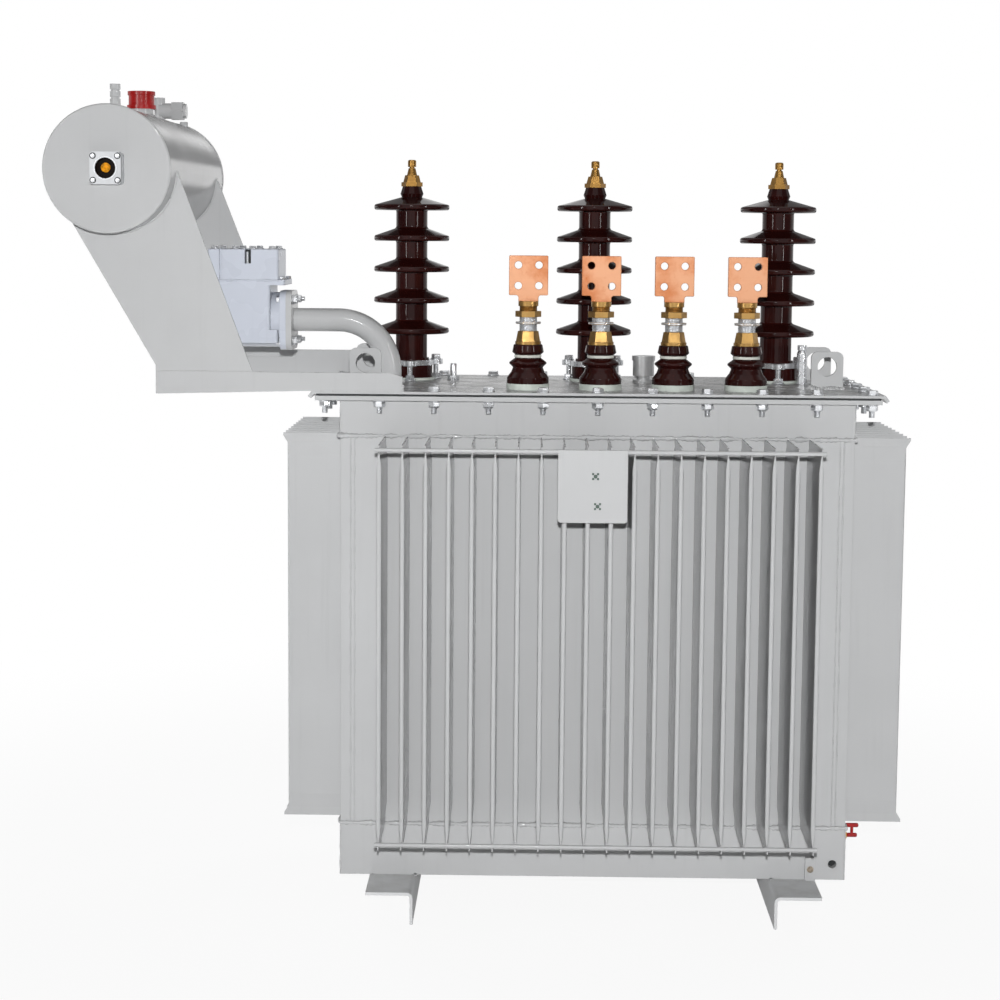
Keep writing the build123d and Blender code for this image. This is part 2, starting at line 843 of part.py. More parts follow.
breather_z = fitting_z + breather_axis_height
breather_hex_x = cons_x + breather_body_length
with BuildPart() as breather_valve:
    disc(level(cons_x, breather_y, fitting_z), breather_stem_diameter, breather_stem_height)
    disc(sideways(cons_x, breather_y, breather_z), breather_body_diameter, breather_body_length)
    with BuildSketch(sideways(breather_hex_x, breather_y, breather_z)):
        RegularPolygon(breather_hex_diameter / 2, 6)
    extrude(amount=breather_hex_length)
    disc(sideways(breather_hex_x + breather_hex_length, breather_y, breather_z), breather_tip_diameter, breather_tip_length)
save(breather_valve, "breather_valve")


def saddle_point(angle):
    """Point where the support's edge meets the conservator, from the front."""
    return (cons_x + cons_radius * cos(radians(angle)), cons_height + cons_radius * sin(radians(angle)))


def support(front_y, arm_height):
    """Profiled plate: a stepped arm on the cover and an inclined part up to the saddle."""
    arm_end = arm_seat_length - half_width
    outline = (
        (-half_width - arm_overhang, -arm_droop),
        (-lip_end, 0),
        (arm_end, 0),
        (arm_end, arm_height - arm_step_height),
        (arm_end - arm_step_length, arm_height),
        (-half_width - plate_foot_overhang, arm_height),
        saddle_point(saddle_right_angle),
        (cons_x, cons_height),
        saddle_point(saddle_left_angle),
        (-half_width - arm_overhang, plate_left_height),
    )
    with BuildPart() as plate:
        with BuildSketch(upright(0, front_y, cover_top)):
            Polygon(*outline, align=None)
            with Locations((cons_x, cons_height)):
                Circle(shell_radius + seat_clearance, mode=Mode.SUBTRACT)
        extrude(amount=-support_thickness)
    return plate


# Conservator supports along the cover's front and rear edges
save(support(-flange_depth / 2, front_arm_height), "front_support")
save(support(flange_depth / 2 - support_thickness, rear_arm_height), "rear_support")

# Oil relay: waisted body with a sill, a ledge under the lid and two square flanges
relay_z = cover_top + relay_floor_height
relay_top = relay_z + relay_body_height
with BuildPart() as relay_body:
    with BuildSketch(level(relay_x, 0, relay_z)):
        RectangleRounded(relay_waist_width, relay_depth, relay_rounding)
    extrude(amount=relay_body_height)
    with BuildSketch(level(relay_x, 0, relay_z)):
        RectangleRounded(relay_sill_width, relay_depth, relay_rounding)
    extrude(amount=relay_sill_height)
    with BuildSketch(level(relay_x, 0, relay_top - relay_ledge_height)):
        RectangleRounded(relay_width + 2 * relay_ledge_overhang, relay_depth, relay_rounding)
    extrude(amount=relay_ledge_height)
    for side in (-1, 1):
        disc(sideways(relay_x, 0, pipe_z), relay_neck_diameter, side * relay_flange_reach)
        with BuildSketch(sideways(relay_x + side * relay_flange_reach, 0, pipe_z)):
            RectangleRounded(relay_flange_size, relay_flange_size, relay_flange_rounding)
        extrude(amount=side * relay_flange_thickness)
save(relay_body, "relay_body")

with BuildPart() as relay_lid:
    with BuildSketch(level(relay_x, 0, relay_top)):
        RectangleRounded(relay_width, relay_depth, relay_rounding)
    extrude(amount=relay_lid_height)
    fillet(relay_lid.faces().sort_by(Axis.Z)[-1].edges(), lid_edge_rounding)
    notch_x = relay_x + lid_notch_share * relay_width
    notch_z = relay_top + relay_lid_height - lid_notch_height / 2
    step_x = relay_x - lid_step_share * relay_width
    for side in (-1, 1):
        with BuildSketch(upright(notch_x, side * relay_depth / 2, notch_z)):
            Rectangle(lid_notch_width, lid_notch_height)
        extrude(amount=side * lid_notch_depth, mode=Mode.SUBTRACT)
        with BuildSketch(upright(step_x, side * relay_depth / 2, relay_top + relay_lid_height / 2)):
            Rectangle(lid_groove_width, relay_lid_height)
        extrude(amount=side * lid_groove_depth, mode=Mode.SUBTRACT)
save(relay_lid, "relay_lid")


def oil_pipe(start_x, end_x, bend, end_z):
    """Pipe from a relay flange along X and round one bend, with a matching flange at its start."""
    side = 1 if end_x > start_x else -1
    corner = (tank_x + end_x, 0, pipe_z)
    with BuildPart() as pipe:
        with BuildLine():
            FilletPolyline((tank_x + start_x, 0, pipe_z), corner, (tank_x + end_x, 0, end_z), radius=bend)
        with BuildSketch(sideways(start_x, 0, pipe_z)):
            Circle(pipe_diameter / 2)
        sweep()
        with BuildSketch(sideways(start_x, 0, pipe_z)):
            RectangleRounded(relay_flange_size, relay_flange_size, relay_flange_rounding)
        extrude(amount=side * pipe_flange_thickness)
    return pipe


# Oil pipes from the relay, down into the cover and up into the conservator
relay_end = relay_flange_reach + relay_flange_thickness
cons_pipe_top = cons_z - shell_radius - seat_clearance
save(oil_pipe(relay_x + relay_end, pipe_inset - half_width, pipe_bend_radius, cover_top), "oil_pipe")
save(oil_pipe(relay_x - relay_end, cons_x, cons_pipe_bend_radius, cons_pipe_top), "conservator_pipe")
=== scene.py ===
"""Dresses the oil-filled power transformer: paint, porcelain, metals, fasteners, welds, stage and camera."""
import json
from math import ceil, cos, pi, radians, sin, sqrt

import bmesh
import bpy
from bpy.props import FloatProperty, FloatVectorProperty, IntProperty, PointerProperty
from mathutils import Matrix, Vector, noise


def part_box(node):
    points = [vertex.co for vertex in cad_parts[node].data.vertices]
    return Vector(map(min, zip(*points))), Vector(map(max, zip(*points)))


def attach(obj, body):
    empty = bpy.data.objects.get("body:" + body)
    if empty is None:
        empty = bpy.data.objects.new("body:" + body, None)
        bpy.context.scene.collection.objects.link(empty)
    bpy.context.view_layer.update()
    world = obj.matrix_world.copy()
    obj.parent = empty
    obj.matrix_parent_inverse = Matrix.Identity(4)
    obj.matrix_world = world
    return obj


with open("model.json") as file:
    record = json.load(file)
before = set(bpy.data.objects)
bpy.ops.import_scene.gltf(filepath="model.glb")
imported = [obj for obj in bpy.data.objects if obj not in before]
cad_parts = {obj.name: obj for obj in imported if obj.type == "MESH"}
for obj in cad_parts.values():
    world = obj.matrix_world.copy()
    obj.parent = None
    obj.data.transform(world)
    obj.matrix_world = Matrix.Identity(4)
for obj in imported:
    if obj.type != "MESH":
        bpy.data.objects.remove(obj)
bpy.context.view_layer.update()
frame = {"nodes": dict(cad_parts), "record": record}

bl_info = {
    "name": "Power transformer dressing",
    "version": (1, 0, 0),
    "blender": (4, 5, 0),
    "location": "View3D > Sidebar > Transformer",
    "description": "Finishes and small fittings of an oil-filled power transformer on its CAD frame",
    "category": "Object",
}

MM = 0.001
NODES = frame["nodes"]
UP = Vector((0, 0, 1))
FRONT = Vector((0, -1, 0))
RIGHT = Vector((1, 0, 0))
FULL_TURN = 2 * pi
CORNERS = ((-1, -1), (1, -1), (1, 1), (-1, 1))
SIGNS = ((-1, -1), (-1, 1), (1, -1), (1, 1))
HV_BUSHINGS = ("left", "middle", "right")
LV_COUNT = 4

# Places read from the frame
FLANGE_LOW, FLANGE_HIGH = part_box("tank_flange")
COVER_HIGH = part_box("cover_plate")[1]
TANK_LOW, TANK_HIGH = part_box("tank_body")
FINS_LOW, FINS_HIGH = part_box("front_fin_wall")
COVER_TOP = COVER_HIGH.z
TANK_X = (FLANGE_LOW.x + FLANGE_HIGH.x) / 2
WALL_Y = TANK_HIGH.y

# Pitch and depth of the threads
FINE_THREAD = (1.5 * MM, 0.6 * MM)
BOLT_THREAD = (1.75 * MM, 0.7 * MM)
STUD_THREAD = (2.5 * MM, 1.1 * MM)
WELD_SMOOTH = radians(60)


def middle(node):
    """Middle of a CAD node's box."""
    low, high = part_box(node)
    return (low + high) / 2


def seat(node):
    """Point on the cover under the middle of a CAD node."""
    centre = middle(node)
    return Vector((centre.x, centre.y, COVER_TOP))


def spread(first, last, count):
    """Evenly spaced places from first to last."""
    return [first + (last - first) * n / (count - 1) for n in range(count)]


def profile(*corners):
    """Outline of radii and heights, given in millimetres."""
    return [(radius * MM, height * MM) for radius, height in corners]


def setting(kind, **limits):
    """Maker of settings that share a kind and a unit or subtype."""
    def make(name, text, default):
        return kind(name=name, description=text, default=default, **limits)
    return make


length = setting(FloatProperty, min=0.0, max=1.0, unit="LENGTH", precision=4)
number = setting(IntProperty, min=2, subtype="UNSIGNED")
share = setting(FloatProperty, min=0.0, max=1.0, subtype="FACTOR")
angle = setting(FloatProperty, subtype="ANGLE")
watts = setting(FloatProperty, unit="POWER")
colour = setting(FloatVectorProperty, size=3, min=0.0, max=1.0, subtype="COLOR")


def linear(red, green, blue):
    """Linear colour from display values of 0 to 255."""
    return tuple(((c / 255 + 0.055) / 1.055) ** 2.4 if c > 10 else c / 255 / 12.92
                 for c in (red, green, blue))


class TransformerFinishes(bpy.types.PropertyGroup):
    """Colours of the finishes."""
    paint: colour("Tank paint", "Light grey enamel of the tank, cover and conservator", linear(190, 191, 192))
    relay: colour("Relay paint", "Pale blue-grey enamel of the relay casting", linear(200, 205, 216))
    glaze: colour("Glaze", "Dark brown glaze of the porcelain", linear(37, 11, 10))
    glaze_thin: colour("Thin glaze", "Redder brown where the glaze runs thin", linear(62, 22, 17))
    brass: colour("Brass", "Turned brass of the studs and nuts", linear(186, 148, 90))
    brass_dull: colour("Dull brass", "Tarnish in the brass", linear(104, 74, 38))
    brass_aged: colour("Aged brass", "Darker brass of the high-voltage terminals", linear(158, 120, 64))
    copper: colour("Copper", "Bright rolled copper of the palms", linear(220, 164, 129))
    copper_dull: colour("Dull copper", "Handling stains on the copper", linear(196, 118, 70))
    zinc: colour("Zinc", "Zinc-plated steel of the fasteners", linear(232, 234, 237))
    aluminium: colour("Aluminium", "Turned bare aluminium", linear(212, 213, 214))
    red: colour("Red moulding", "Red caps and tap", linear(166, 16, 15))
    rubber: colour("Rubber", "Gasket between cover and flange", linear(50, 52, 53))
    ring: colour("Seat ring", "Pale grey-green rings under the porcelain", linear(196, 203, 196))
    white: colour("White ring", "Pale rings below the low-voltage collars", linear(214, 216, 208))
    screw: colour("Plate screw", "Dark grey-green screws of the bracket", linear(84, 100, 92))
    amber: colour("Oil", "Amber oil behind the gauge glass", linear(240, 158, 22))
    glass: colour("Gauge glass", "Dark glass of the oil gauge", linear(20, 12, 8))
    glass_dark: colour("Dark gauge glass", "Darker streaks in the gauge glass", linear(8, 5, 4))
    rust: colour("Rust", "Rust on the bare earthing bolt", linear(190, 176, 158))
    dust: colour("Dust", "Dust that lies on level faces", linear(150, 148, 142))


class TransformerFasteners(bpy.types.PropertyGroup):
    """Sizes of the bolts, nuts and beads."""
    front_bolts: number("Front bolts", "Cover bolts along each long side", 11)
    side_bolts: number("Side bolts", "Cover bolts along each short side with corners", 6)
    bolt_size: length("Cover bolt", "Thread diameter of the cover bolts", 12 * MM)
    nut_width: length("Nut", "Width across corners of the cover nuts", 24.4 * MM)
    washer: length("Washer", "Diameter of the cover washers", 25.4 * MM)
    corner_inset: length("Corner inset", "Flange end to the first cover bolt", 19 * MM)
    bead: length("Weld bead", "Width of the weld beads", 8.5 * MM)


class TransformerStage(bpy.types.PropertyGroup):
    """Camera and light."""
    camera: FloatVectorProperty(name="Camera", description="Place of the camera from the floor under the tank",
                                size=3, default=(-0.1348, -4.3221, 1.3807),
                                subtype="TRANSLATION", unit="LENGTH")
    yaw: angle("Yaw", "Camera turned to the right", -0.015)
    pitch: angle("Pitch", "Camera tilted down", 0.1013)
    roll: angle("Roll", "Camera rolled clockwise", 0.0079)
    lens: FloatProperty(name="Lens", description="Focal length", default=73.27, unit="CAMERA")
    shift: FloatProperty(name="Shift", description="Vertical shift of the picture", default=-0.0577,
                         min=-1.0, max=1.0, subtype="FACTOR")
    floor: colour("Floor", "Plain pale floor", (0.6, 0.6, 0.6))
    ambient: share("Ambient", "Level of the even surrounding light", 0.04)
    bays: share("Dim bays", "How far the sides go dark in reflections", 0.8)
    bands: share("Dim bands", "How far bands behind the part go dark in reflections", 0.75)
    front: watts("Front lamp", "Power of the lamp above the camera", 149.0)
    top: watts("Top lamp", "Power of the soft lamp overhead", 6.0)
    strip: watts("Strip lamps", "Power of each tall lamp at the sides", 24.0)
    spark: watts("Spark lamp", "Power of the small lamp that makes highlights", 28.0)
    side: watts("Side lamps", "Power of the soft lamp on the left; the right one is weaker", 80.0)
    rear: watts("Rear lamps", "Power of each soft lamp behind the part", 120.0)


class Wire:
    """A node socket that takes part in Python arithmetic: each operator adds one Math node."""

    def __init__(self, tree, socket=None):
        self.tree = tree
        self.socket = socket

    def node(self, kind, settings=None, sockets=None, output=0):
        """Adds a node: settings first, then values or links of its sockets."""
        made = self.tree.nodes.new(kind)
        for name, value in (settings or {}).items():
            setattr(made, name, value)
        for name, value in (sockets or {}).items():
            if isinstance(value, Wire):
                self.tree.links.new(value.socket, made.inputs[name])
            elif isinstance(value, tuple) and made.inputs[name].type == "RGBA":
                made.inputs[name].default_value = (*value, 1)
            else:
                made.inputs[name].default_value = value
        return Wire(self.tree, made.outputs[output] if made.outputs else None)

    def math(self, operation, *values):
        """One Math node over values or wires."""
        return self.node("ShaderNodeMath", {"operation": operation}, dict(enumerate(values)))

    def __add__(self, other):
        return self.math("ADD", self, other)

    def __sub__(self, other):
        return self.math("SUBTRACT", self, other)

    def __rsub__(self, other):
        return self.math("SUBTRACT", other, self)

    def __mul__(self, other):
        return self.math("MULTIPLY", self, other)

    __radd__ = __add__
    __rmul__ = __mul__

    def clamp(self, low, high):
        """Rises from 0 at low to 1 at high."""
        return self.node("ShaderNodeMapRange", {"interpolation_type": "SMOOTHSTEP"},
                         {"Value": self, "From Min": low, "From Max": high})

    def blend(self, first, second):
        """Colour that goes from the first to the second as this wire goes from 0 to 1."""
        return self.node("ShaderNodeMix", {"data_type": "RGBA"}, {0: self, 6: first, 7: second}, 2)


def blank(owner):
    """First wire of the emptied node tree of a material or world."""
    owner.use_nodes = True
    owner.node_tree.nodes.clear()
    return Wire(owner.node_tree)


def put(name, data):
    """A new object in the scene."""
    made = bpy.data.objects.new(name, data)
    bpy.context.scene.collection.objects.link(made)
    return made


def ray(wire, kind):
    """1 for rays of one kind."""
    return wire.node("ShaderNodeLightPath", output=f"Is {kind} Ray")


def place(wire, stretch=(1, 1, 1)):
    """Place on the object in metres, stretched."""
    there = wire.node("ShaderNodeTexCoord", output="Object")
    return wire.node("ShaderNodeVectorMath", {"operation": "MULTIPLY"}, {0: there, 1: stretch})


def mottle(wire, scale, detail=3.0, rough=0.55, stretch=(1, 1, 1)):
    """Soft noise over the object; scale counts patches per metre."""
    return wire.node("ShaderNodeTexNoise", {}, {"Vector": place(wire, stretch), "Scale": scale,
                                                "Detail": detail, "Roughness": rough})


def facing(wire, axis):
    """Share of the surface's direction along one axis."""
    normal = wire.node("ShaderNodeNewGeometry", output="Normal")
    return wire.node("ShaderNodeSeparateXYZ", {}, {0: normal}, axis)


def edges(wire, reach):
    """Rises from 0 on flat faces towards 1 at edges, within reach of them."""
    rounded = wire.node("ShaderNodeBevel", {"samples": 8}, {"Radius": reach})
    flat = wire.node("ShaderNodeNewGeometry", output="Normal")
    return 1.0 - wire.node("ShaderNodeVectorMath", {"operation": "DOT_PRODUCT"}, {0: rounded, 1: flat}, "Value")


def tinted(shade, factor):
    """A colour made lighter or darker."""
    return tuple(min(1.0, c * factor) for c in shade)


def tint(name, factor=1.0):
    """A colour from the settings, made lighter or darker."""
    return tinted(tuple(getattr(bpy.context.scene.transformer_finishes, name)), factor)


def finish(name, constants, build, relief=0.0, edge=0.0):
    """A material: build returns the varying sockets; constants are set on the shader itself."""
    made = bpy.data.materials.new(name)
    wire = blank(made)
    sockets = {**constants, **build(wire)}
    height = sockets.pop("height", None)
    if edge:
        sockets["Normal"] = wire.node("ShaderNodeBevel", {"samples": 4}, {"Radius": edge})
    if height is not None:
        lift = {"Height": height, "Strength": 1.0, "Distance": relief}
        if edge:
            lift["Normal"] = sockets["Normal"]
        sockets["Normal"] = wire.node("ShaderNodeBump", {}, lift)
    shader = wire.node("ShaderNodeBsdfPrincipled", {}, sockets)
    wire.node("ShaderNodeOutputMaterial", {}, {"Surface": shader})
    return made


# Finishes
MADE = {}


def enamel(name, shade, peel, gloss, lumps=0.06, shine=0.45):
    """Sprayed enamel: cloudy tone, faint runs, painted shade darkening level faces, dust on level faces, orange
    peel and slightly wavy sheet.
    """
    run_share, level_shade_share, dust_share, wave_share = 0.35, 0.26, 0.25, 0.4

    def build(wire):
        cloud = mottle(wire, 3.0, 4.0).clamp(0.3, 0.75)
        runs = mottle(wire, 1.0, 3.0, 0.6, (60, 60, 2.2)).clamp(0.52, 0.8)
        level = facing(wire, 2).clamp(0.55, 0.95)
        dust = level * mottle(wire, 26, 4.0).clamp(0.35, 0.8)
        tone = cloud.blend(tinted(shade, 0.965), tinted(shade, 1.025))
        tone = (runs * run_share).blend(tone, tinted(shade, 0.86))
        # Painted shade: level faces darkened towards half the tone.
        tone = (level * level_shade_share).blend(tone, tinted(shade, 0.5))
        tone = (dust * dust_share).blend(tone, tint("dust"))
        skin = mottle(wire, peel, 2.0) * lumps + mottle(wire, 9, 1.0) * wave_share
        return {
            "Base Color": tone,
            "Roughness": gloss + cloud * 0.07 + level * 0.08 + dust * 0.16,
            "height": skin * (1.0 - level * 0.85),
        }
    return finish(name, {"Specular IOR Level": shine}, build, 1.1 * MM, 1.1 * MM)


def glazed(name, shade, thin):
    """Glazed porcelain: deep brown, redder where the glaze runs thin, with a wet gloss."""
    cloud_share, rim_share, speck_share = 0.35, 0.18, 0.3

    def build(wire):
        cloud = mottle(wire, 22).clamp(0.35, 0.75)
        specks = mottle(wire, 420, 1.0).clamp(0.66, 0.8)
        rim = facing(wire, 2).clamp(0.2, 0.9)
        tone = (cloud * cloud_share + rim * rim_share).blend(shade, thin)
        tone = (specks * speck_share).blend(tone, tinted(shade, 0.5))
        return {"Base Color": tone, "Roughness": 0.09 + cloud * 0.05, "height": mottle(wire, 45, 2.0)}
    return finish(name, {"Specular IOR Level": 0.19}, build, 0.2 * MM)


def turned_metal(name, shade, dull, gloss, rings, stain, bare=1.0):
    """Machined metal: fine tool rings, tarnish clouds and small stains."""
    def build(wire):
        lines = mottle(wire, 1.0, 2.0, 0.6, (14, 14, rings))
        cloud = mottle(wire, 34, 4.0).clamp(0.38, 0.72)
        spots = mottle(wire, 150).clamp(0.62, 0.78)
        return {
            "Base Color": (cloud * stain + spots * stain * 0.6).blend(shade, dull),
            "Roughness": gloss + cloud * 0.12 + lines * 0.1,
            "height": lines,
        }
    return finish(name, {"Metallic": bare}, build, 0.05 * MM, 0.6 * MM)


def rolled_copper(name, shade, dull):
    """Bright rolled copper: long rolling lines, handling stains and edges darkened as painted shade."""
    cloud_share, spot_share, edge_shade_share = 0.75, 0.25, 0.75

    def build(wire):
        lines = mottle(wire, 1.0, 3.0, 0.65, (12, 12, 700))
        cloud = mottle(wire, 12, 5.0, 0.62).clamp(0.4, 0.66)
        spots = mottle(wire, 90).clamp(0.6, 0.74)
        tone = (cloud * cloud_share + spots * spot_share).blend(shade, dull)
        # Painted shade: edges darkened towards half the dull copper.
        tone = (edges(wire, 4 * MM).clamp(0.0, 0.2) * edge_shade_share).blend(tone, tinted(dull, 0.5))
        return {
            "Base Color": tone,
            "Roughness": 0.34 + cloud * 0.12 + lines * 0.12,
            "height": lines,
        }
    return finish(name, {"Metallic": 1.0}, build, 0.14 * MM, 0.8 * MM)


def moulded(name, shade, gloss, grain, relief):
    """Moulded plastic or rubber: even tone with scuffs and a fine skin."""
    scuff_share = 0.3

    def build(wire):
        cloud = mottle(wire, 30).clamp(0.35, 0.75)
        scuffs = mottle(wire, 240).clamp(0.62, 0.76)
        tone = cloud.blend(tinted(shade, 0.86), tinted(shade, 1.1))
        tone = (scuffs * scuff_share).blend(tone, tinted(shade, 1.5))
        return {"Base Color": tone, "Roughness": gloss + cloud * 0.14, "height": mottle(wire, grain, 2.0)}
    return finish(name, {}, build, relief, 0.8 * MM)


def rusty(name, shade, dark):
    """Bare steel gone brown: flaky patches and a dull skin."""
    def build(wire):
        patches = mottle(wire, 180, 5.0, 0.65).clamp(0.4, 0.62)
        return {"Base Color": patches.blend(dark, shade), "Roughness": 0.6 + patches * 0.25, "height": patches}
    return finish(name, {"Specular IOR Level": 0.3}, build, 0.4 * MM)


def gauge_face(name, shade, dark):
    """Glass or oil of the gauge: smooth, with darker streaks."""
    def build(wire):
        streaks = mottle(wire, 130).clamp(0.35, 0.7)
        return {"Base Color": streaks.blend(shade, dark), "Roughness": 0.06 + streaks * 0.05}
    return finish(name, {"Specular IOR Level": 0.12}, build)


def material(name):
    """The finish of that name, made once."""
    makers = {
        "tank_paint": (enamel, tint("paint"), 420, 0.13),
        # Conservator shell: the tank paint darkened to 0.8 as painted shade, and glossier.
        "shell_paint": (enamel, tint("paint", 0.8), 420, 0.09),
        "weld_paint": (enamel, tint("paint"), 120, 0.06, 2.4, 1.0),
        # Feet: the tank paint lightened 1.4 times as painted light, with little gloss.
        "foot_paint": (enamel, tint("paint", 1.4), 420, 0.45, 0.06, 0.08),
        "relay_paint": (enamel, tint("relay"), 520, 0.22),
        "brown_porcelain": (glazed, tint("glaze"), tint("glaze_thin")),
        "brass": (turned_metal, tint("brass"), tint("brass_dull"), 0.24, 900, 0.4),
        "aged_brass": (turned_metal, tint("brass_aged"), tint("brass_dull"), 0.24, 900, 0.4),
        "gauge_metal": (turned_metal, tint("zinc", 0.72), tint("zinc", 0.5), 0.3, 500, 0.4, 0.5),
        "copper": (rolled_copper, tint("copper"), tint("copper_dull")),
        "zinc_steel": (turned_metal, tint("zinc"), tint("zinc", 0.6), 0.2, 500, 0.35, 0.85),
        "bare_aluminium": (turned_metal, tint("aluminium"), tint("aluminium", 0.7), 0.26, 1300, 0.35, 0.75),
        "red_plastic": (moulded, tint("red"), 0.26, 160, 0.3 * MM),
        # Gasket rubber also serves as painted shade in the relay notches and deep in the earthing hole.
        "gasket_rubber": (moulded, tint("rubber"), 0.62, 600, 0.4 * MM),
        "seat_ring": (moulded, tint("ring"), 0.5, 300, 0.3 * MM),
        "white_ring": (moulded, tint("white"), 0.4, 300, 0.3 * MM),
        "plate_screw": (moulded, tint("screw"), 0.5, 400, 0.2 * MM),
        "rust": (rusty, tint("rust"), tint("rust", 0.5)),
        "amber": (gauge_face, tint("amber"), tint("amber", 0.35)),
        "dark_glass": (gauge_face, tint("glass"), tint("glass_dark")),
    }
    if name not in MADE:
        maker, *values = makers[name]
        MADE[name] = maker(name, *values)
    return MADE[name]


def spokes(axis, out, sides, turn=0.0):
    """Directions evenly round an axis, counted from one that points out."""
    across = axis.cross(out)
    angles = [turn + FULL_TURN * n / sides for n in range(sides)]
    return [out * cos(a) + across * sin(a) for a in angles]


class Maker:
    """Collects the faces of one piece, in metres in the frame, and hands it over as an object."""

    def __init__(self):
        self.mesh = bmesh.new()

    def bridge(self, lower, upper):
        """Faces between two rings; a ring of one corner closes to a point."""
        total = max(len(lower), len(upper))
        for n in range(total):
            m = (n + 1) % total
            if len(lower) == 1:
                corners = [lower[0], upper[n], upper[m]]
            elif len(upper) == 1:
                corners = [lower[n], lower[m], upper[0]]
            else:
                corners = [lower[n], lower[m], upper[m], upper[n]]
            self.mesh.faces.new(corners)

    def loft(self, rings):
        """Skin over a row of rings, with flat ends."""
        made = [[self.mesh.verts.new(corner) for corner in ring] for ring in rings]
        for lower, upper in zip(made, made[1:]):
            self.bridge(lower, upper)
        for end in (made[0], made[-1]):
            if len(end) > 2:
                self.mesh.faces.new(end)

    def turned(self, foot, outline, axis=UP, sides=24, turn=0.0):
        """Skin turned about an axis through a foot point, from radius and height; six sides make a nut."""
        around = spokes(axis, axis.orthogonal().normalized(), sides, turn)
        rings = []
        for radius, height in outline:
            centre = foot + axis * height
            rings.append([centre + spoke * radius for spoke in around] if radius else [centre])
        self.loft(rings)

    def ring(self, foot, outline, axis=UP, sides=48):
        """Closed ring turned about an axis, from the corners of its section."""
        rings = []
        for spoke in spokes(axis, axis.orthogonal().normalized(), sides):
            section = [foot + axis * height + spoke * radius for radius, height in outline]
            rings.append([self.mesh.verts.new(corner) for corner in section])
        for n in range(sides):
            self.bridge(rings[n], rings[(n + 1) % sides])

    def bead(self, path, width, ripple, closed=False):
        """Weld bead along a path: a rippled, uneven rope of metal."""
        sides = 8
        mean, ridge_share, lump_share, lumps_per_metre = 0.74, 0.4, 0.8, 60
        points = []
        for start, end in zip(path, path[1:]):
            steps = max(1, ceil((end - start).length / ripple * 2))
            points += [start.lerp(end, n / steps) for n in range(steps)]
        if not closed:
            points.append(path[-1])
        rings = []
        for n, point in enumerate(points):
            ahead = points[(n + 1) % len(points)] if closed or n + 1 < len(points) else point
            behind = points[n - 1] if closed or n else point
            along = (ahead - behind).normalized()
            out = along.cross(UP if abs(along.z) < 0.9 else RIGHT).normalized()
            lump = noise.noise(point * lumps_per_metre)
            swell = width / 2 * (mean + ridge_share * (n % 2) + lump_share * lump)
            corners = [point + spoke * swell for spoke in spokes(along, out, sides)]
            rings.append([self.mesh.verts.new(corner) for corner in corners])
        pairs = list(zip(rings, rings[1:]))
        if closed:
            pairs.append((rings[-1], rings[0]))
        for lower, upper in pairs:
            self.bridge(lower, upper)
        if not closed:
            for end in (rings[0], rings[-1]):
                self.mesh.faces.new(end)

    def hexagon(self, foot, axis, across, height, turn=0.0):
        """Hexagon head or nut with a chamfered top."""
        half = across / 2
        outline = [(half * 0.97, 0), (half, height * 0.08), (half, height * 0.82), (half * 0.86, height)]
        self.turned(foot, outline, axis, 6, turn)

    def washer(self, foot, axis, diameter, thickness):
        """Flat washer with broken edges."""
        half = diameter / 2
        soft = thickness * 0.3
        outline = [(half - soft, 0), (half, soft), (half, thickness - soft), (half - soft, thickness)]
        self.turned(foot, outline, axis)

    def bolted(self, foot, axis, washer, nut, turn):
        """Washer with a nut or head on it, each given by its width and height."""
        self.washer(foot, axis, *washer)
        self.hexagon(foot + axis * washer[1], axis, *nut, turn)

    def thread(self, foot, axis, diameter, height, pitch, depth):
        """Threaded stretch: ridges round a stud."""
        half = diameter / 2
        turns = max(1, int(height / pitch))
        step = height / turns
        outline = [(half - depth, 0)]
        for n in range(turns):
            outline.append((half, (n + 0.5) * step))
            outline.append((half - depth, (n + 1) * step))
        self.turned(foot, outline, axis, 20)

    def hand_over(self, name, finish_name, slot=None, smooth=radians(38)):
        """Makes the object, smooths it below the angle and lets it ride; the slot argument is not used."""
        slot = slot or finish_name
        bmesh.ops.recalc_face_normals(self.mesh, faces=self.mesh.faces)
        data = bpy.data.meshes.new(name)
        self.mesh.to_mesh(data)
        self.mesh.free()
        data.shade_smooth()
        data.set_sharp_from_angle(angle=smooth)
        data.materials.append(material(finish_name))
        piece = put(name, data)
        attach(piece, "root")


class TRANSFORMER_OT_finishes(bpy.types.Operator):
    """Give every CAD node the finish of its material slot, or its own"""
    bl_idname = "transformer.finishes"
    bl_label = "Finish CAD nodes"

    def execute(self, context):
        own = {"hv_terminals": "aged_brass", "oil_gauge": "gauge_metal", "conservator_shell": "shell_paint",
               "left_foot": "foot_paint", "right_foot": "foot_paint"}
        for subpart in frame["record"]["subparts"]:
            node = NODES[subpart["node"]]
            node.data.materials.clear()
            node.data.materials.append(material(own.get(subpart["node"], subpart["material_slot"])))
        return {"FINISHED"}


